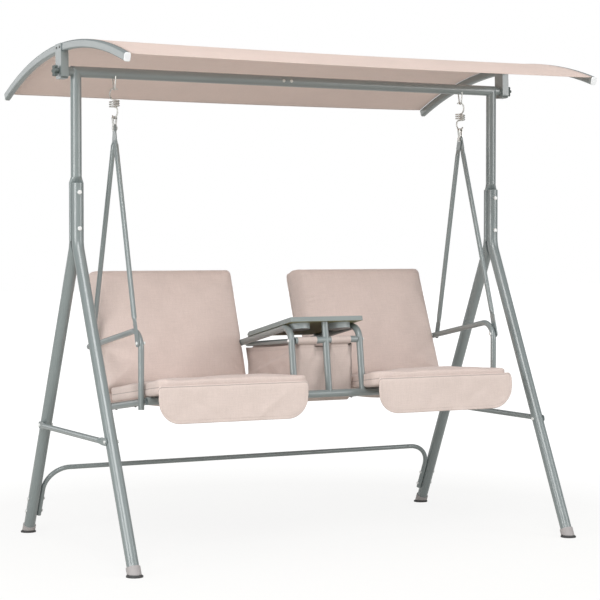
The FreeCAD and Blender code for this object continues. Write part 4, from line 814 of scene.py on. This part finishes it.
def makeBag():
    length = bag["rear"] - bag["front"]
    loop, out, run = roundedLoop(2 * bag["half"], length, bag["corner"], 300)
    x0 = loop[:, 0]
    t = loop[:, 1] / length
    onSide = out[:, 0] ** 2
    onFront = np.clip(-out[:, 1], 0, 1) ** 2
    onRear = np.clip(out[:, 1], 0, 1) ** 2
    sideTop = barTop(bag["front"] + loop[:, 1]) - bag["hem"] - bag["sag"] * np.sin(math.pi * t)
    sleeve = onSleeve(x0)
    frontTop = bag["barHeight"] - bag["frontDrop"] + bag["frontRise"] * sleeve
    rearTop = bag["rearHeight"] - bag["rearDrop"]
    rearTop = rearTop + bag["rearRise"] * smoothStep(bag["rearSleeve"] - np.abs(x0), -0.01, 0)
    top = sideTop * onSide + frontTop * onFront + rearTop * onRear
    rows = 80
    v = np.linspace(0, 1, rows)[:, None]
    low = bag["floor"] + bag["floorGap"]
    z = low + (top - low) * v
    lean = math.tan(math.radians(bag["rearLean"])) * (z - bag["rearHeight"])
    y0 = bag["front"] + loop[:, 1] * (length + lean) / length
    arch = np.sin(math.pi * v) ** 0.8
    fold = ripple(run, z, bag["folds"]) * arch
    slump = bag["slump"]
    diagonal = slump["top"] - slump["fall"] * (y0 - bag["front"]) + slump["right"] * (x0 > 0)
    slack = bag["side"] * smoothStep(diagonal - z, -0.005, 0.012) * smoothStep(v, 0.0, 0.25)
    hang = np.clip(frontTop - z, 0, None)
    pull = 0 * z
    for first, last in (bag["leftSleeve"], bag["rightSleeve"]):
        pull = pull + ridge(x0 - last + 0.4 * hang, 0.007) + ridge(x0 - first - 0.5 * hang, 0.006)
    pull = bag["crease"] * pull * np.exp(-hang / 0.06) * smoothStep(hang, 0.0, 0.01)
    spread = sleeve + (1 - sleeve) * smoothStep(hang, 0.008, 0.045)
    forward = bag["forward"] * spread * (0.3 + 0.7 * smoothStep(v, 0.25, 0.95)) + pull
    x = x0 + out[:, 0] * onSide * (fold + slack)
    y = y0 + out[:, 1] * (onRear * (fold + bag["bulge"] * arch) + onFront * (forward + 0.5 * fold))
    tuck = bag["tuck"] * np.exp(-v / 0.05)
    x = x - out[:, 0] * tuck
    y = y - out[:, 1] * tuck
    shell = np.stack([x, y, z], -1)
    centre = shell[0, :, :2].mean(0)
    bottoms = []
    for q in np.linspace(0.98, 0.0, bag["floorRings"]):
        flat = centre + (shell[0, :, :2] - centre) * q
        bottoms.append(np.column_stack([flat, np.full(len(flat), low + bag["floorSag"] * (q - 1))]))
    points = np.concatenate([np.array(bottoms[::-1]), shell])
    piece = toMesh("storageBag", points.reshape(-1, 3), gridFaces(len(points), len(loop), True), "swing_seat")
    across = np.broadcast_to(run, points.shape[:2])
    addUv(piece, np.column_stack([across.ravel(), points[..., 2].ravel()]))
    hemGap = np.concatenate([np.full((bag["floorRings"], len(run)), 1.0), top - z - bag["stitch"]])
    addValue(piece, "hemGap", hemGap.ravel())
    piece.data.materials.append(clothLooks["bag"])
    thicken(piece, bag["thick"])
    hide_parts("storage_bag")
    return piece, float(run[-1] * bag["wall"] + 2 * bag["half"] * (length - bag["floorCut"]))


def makeCuff(name, x0, x1, y, z, radius):
    # cloth tunnel round a bar along x, sewn together below it, with small puckers at its stitching
    rows, cols = 40, 44
    x = np.linspace(x0, x1, rows)[:, None]
    angle = np.linspace(0, 2 * math.pi, cols, endpoint=False)[None, :]
    low = ridge(angle - math.pi, cuff["lipWide"])
    ring = radius + cuff["gap"] + low * (cuff["lip"] + cuff["pucker"] * np.sin((x - x0) * cuff["turns"]))
    points = np.stack([x + 0 * angle, y + ring * np.sin(angle), z + ring * np.cos(angle)], -1)
    piece = toMesh(name, points.reshape(-1, 3), gridFaces(rows, cols, True), "swing_seat")
    addUv(piece, np.column_stack([(x + 0 * angle).ravel(), (radius * angle + 0 * x).ravel()]))
    addValue(piece, "hemGap", np.full(rows * cols, 1.0))
    piece.data.materials.append(clothLooks["bag"])
    thicken(piece, cuff["thick"], 1.0)
    return piece


bagPiece, bagArea = makeBag()
rearBar = (bag["rear"], bag["rearHeight"], bag["rearBar"])
frontBar = (bag["barY"], bag["barHeight"], bag["frontBar"])
bagCuffs = [makeCuff("rearCuff", -bag["rearSleeve"], bag["rearSleeve"], *rearBar)]
for word in ("right", "left"):
    bagCuffs.append(makeCuff(word + "FrontCuff", *bag[word + "Sleeve"], *frontBar))
print("bag ready")


# stage, light and camera

stageSet = dict(floorSize=60.0, floor=(0.52, 0.51, 0.475), glow=1.14, share=0.74, mirror=0.22,
                air=(0.97, 0.985, 1.0), airPower=0.55, airMirror=0.24, near=1.3, far=3.2)
lamps = dict(
    keySoftbox=dict(place=(-2.6, -4.2, 4.6), target=(0, 0, 0.8), size=3.0, power=158),
    sideSoftbox=dict(place=(-4.4, -1.6, 1.1), target=(0, 0, 1.1), size=2.0, power=66),
    fillSoftbox=dict(place=(3.4, -4.2, 2.0), target=(0, 0, 0.8), size=2.6, power=74),
    topSoftbox=dict(place=(-0.4, -0.6, 4.4), target=(0, 0, 1.6), size=2.2, power=38),
    rimSoftbox=dict(place=(-3.6, 7.0, 2.4), target=(-0.8, 0, 1.5), size=3.2, power=34),
)
view = dict(lens=108.42, sensor=36, place=(-2.839, -5.442, 0.991), tilt=88.22, heading=-27.68)


def makeStage():
    half = stageSet["floorSize"] / 2
    points = [(-half, -half, 0), (half, -half, 0), (half, half, 0), (-half, half, 0)]
    floor = toMesh("studioFloor", points, [(0, 1, 2, 3)], None, False)
    mat, tree, shader = newMaterial("studioFloorWhite")
    shader.inputs["Base Color"].default_value = (*stageSet["floor"], 1)
    shader.inputs["Roughness"].default_value = 0.9
    shader.inputs["Specular IOR Level"].default_value = 0.0
    glow = tree.nodes.new("ShaderNodeEmission")
    glow.inputs["Color"].default_value = (1, 1, 1, 1)
    glow.inputs["Strength"].default_value = stageSet["glow"]
    mix = tree.nodes.new("ShaderNodeMixShader")
    path = tree.nodes.new("ShaderNodeLightPath")
    away = tree.nodes.new("ShaderNodeVectorMath")
    away.operation = "LENGTH"
    tree.links.new(objectCoords(tree), away.inputs[0])
    share = rangeNode(tree, away.outputs["Value"], stageSet["near"], stageSet["far"], stageSet["share"], 1.0)
    direct = mathNode(tree, "MULTIPLY", path.outputs["Is Camera Ray"], share)
    mirrored = mathNode(tree, "MULTIPLY", path.outputs["Is Glossy Ray"], stageSet["mirror"])
    tree.links.new(mathNode(tree, "MAXIMUM", direct, mirrored), mix.inputs["Fac"])
    tree.links.new(shader.outputs["BSDF"], mix.inputs[1])
    tree.links.new(glow.outputs["Emission"], mix.inputs[2])
    tree.links.new(mix.outputs["Shader"], tree.nodes["Material Output"].inputs["Surface"])
    floor.data.materials.append(mat)


def makeWorld():
    world = bpy.data.worlds.new("studioAir")
    bpy.context.scene.world = world
    world.use_nodes = True
    tree = world.node_tree
    back = tree.nodes["Background"]
    path = tree.nodes.new("ShaderNodeLightPath")
    seen = path.outputs["Is Camera Ray"]
    power = rangeNode(tree, path.outputs["Is Glossy Ray"], 0, 1, stageSet["airPower"], stageSet["airMirror"])
    tree.links.new(mathNode(tree, "MAXIMUM", power, seen), back.inputs["Strength"])
    white = tree.nodes.new("ShaderNodeMix")
    white.data_type = "RGBA"
    tree.links.new(seen, white.inputs["Factor"])
    white.inputs["A"].default_value = (*stageSet["air"], 1)
    white.inputs["B"].default_value = (1, 1, 1, 1)
    tree.links.new(white.outputs["Result"], back.inputs["Color"])


def areaLight(name, place, target, size, power):
    data = bpy.data.lights.new(name, "AREA")
    data.size = size
    data.energy = power
    lamp = bpy.data.objects.new(name, data)
    lamp.location = place
    lamp.visible_camera = False
    lamp.rotation_euler = (Vector(target) - Vector(place)).to_track_quat("-Z", "Y").to_euler()
    bpy.context.scene.collection.objects.link(lamp)


makeStage()
makeWorld()
for name, lamp in lamps.items():
    areaLight(name, **lamp)
cameraData = bpy.data.cameras.new("photoCamera")
cameraData.lens = view["lens"]
cameraData.sensor_width = view["sensor"]
camera = bpy.data.objects.new("photoCamera", cameraData)
camera.location = view["place"]
camera.rotation_euler = (math.radians(view["tilt"]), 0, math.radians(view["heading"]))
bpy.context.scene.collection.objects.link(camera)
bpy.context.scene.camera = camera
bpy.context.scene.view_settings.view_transform = "Standard"
print("stage ready")
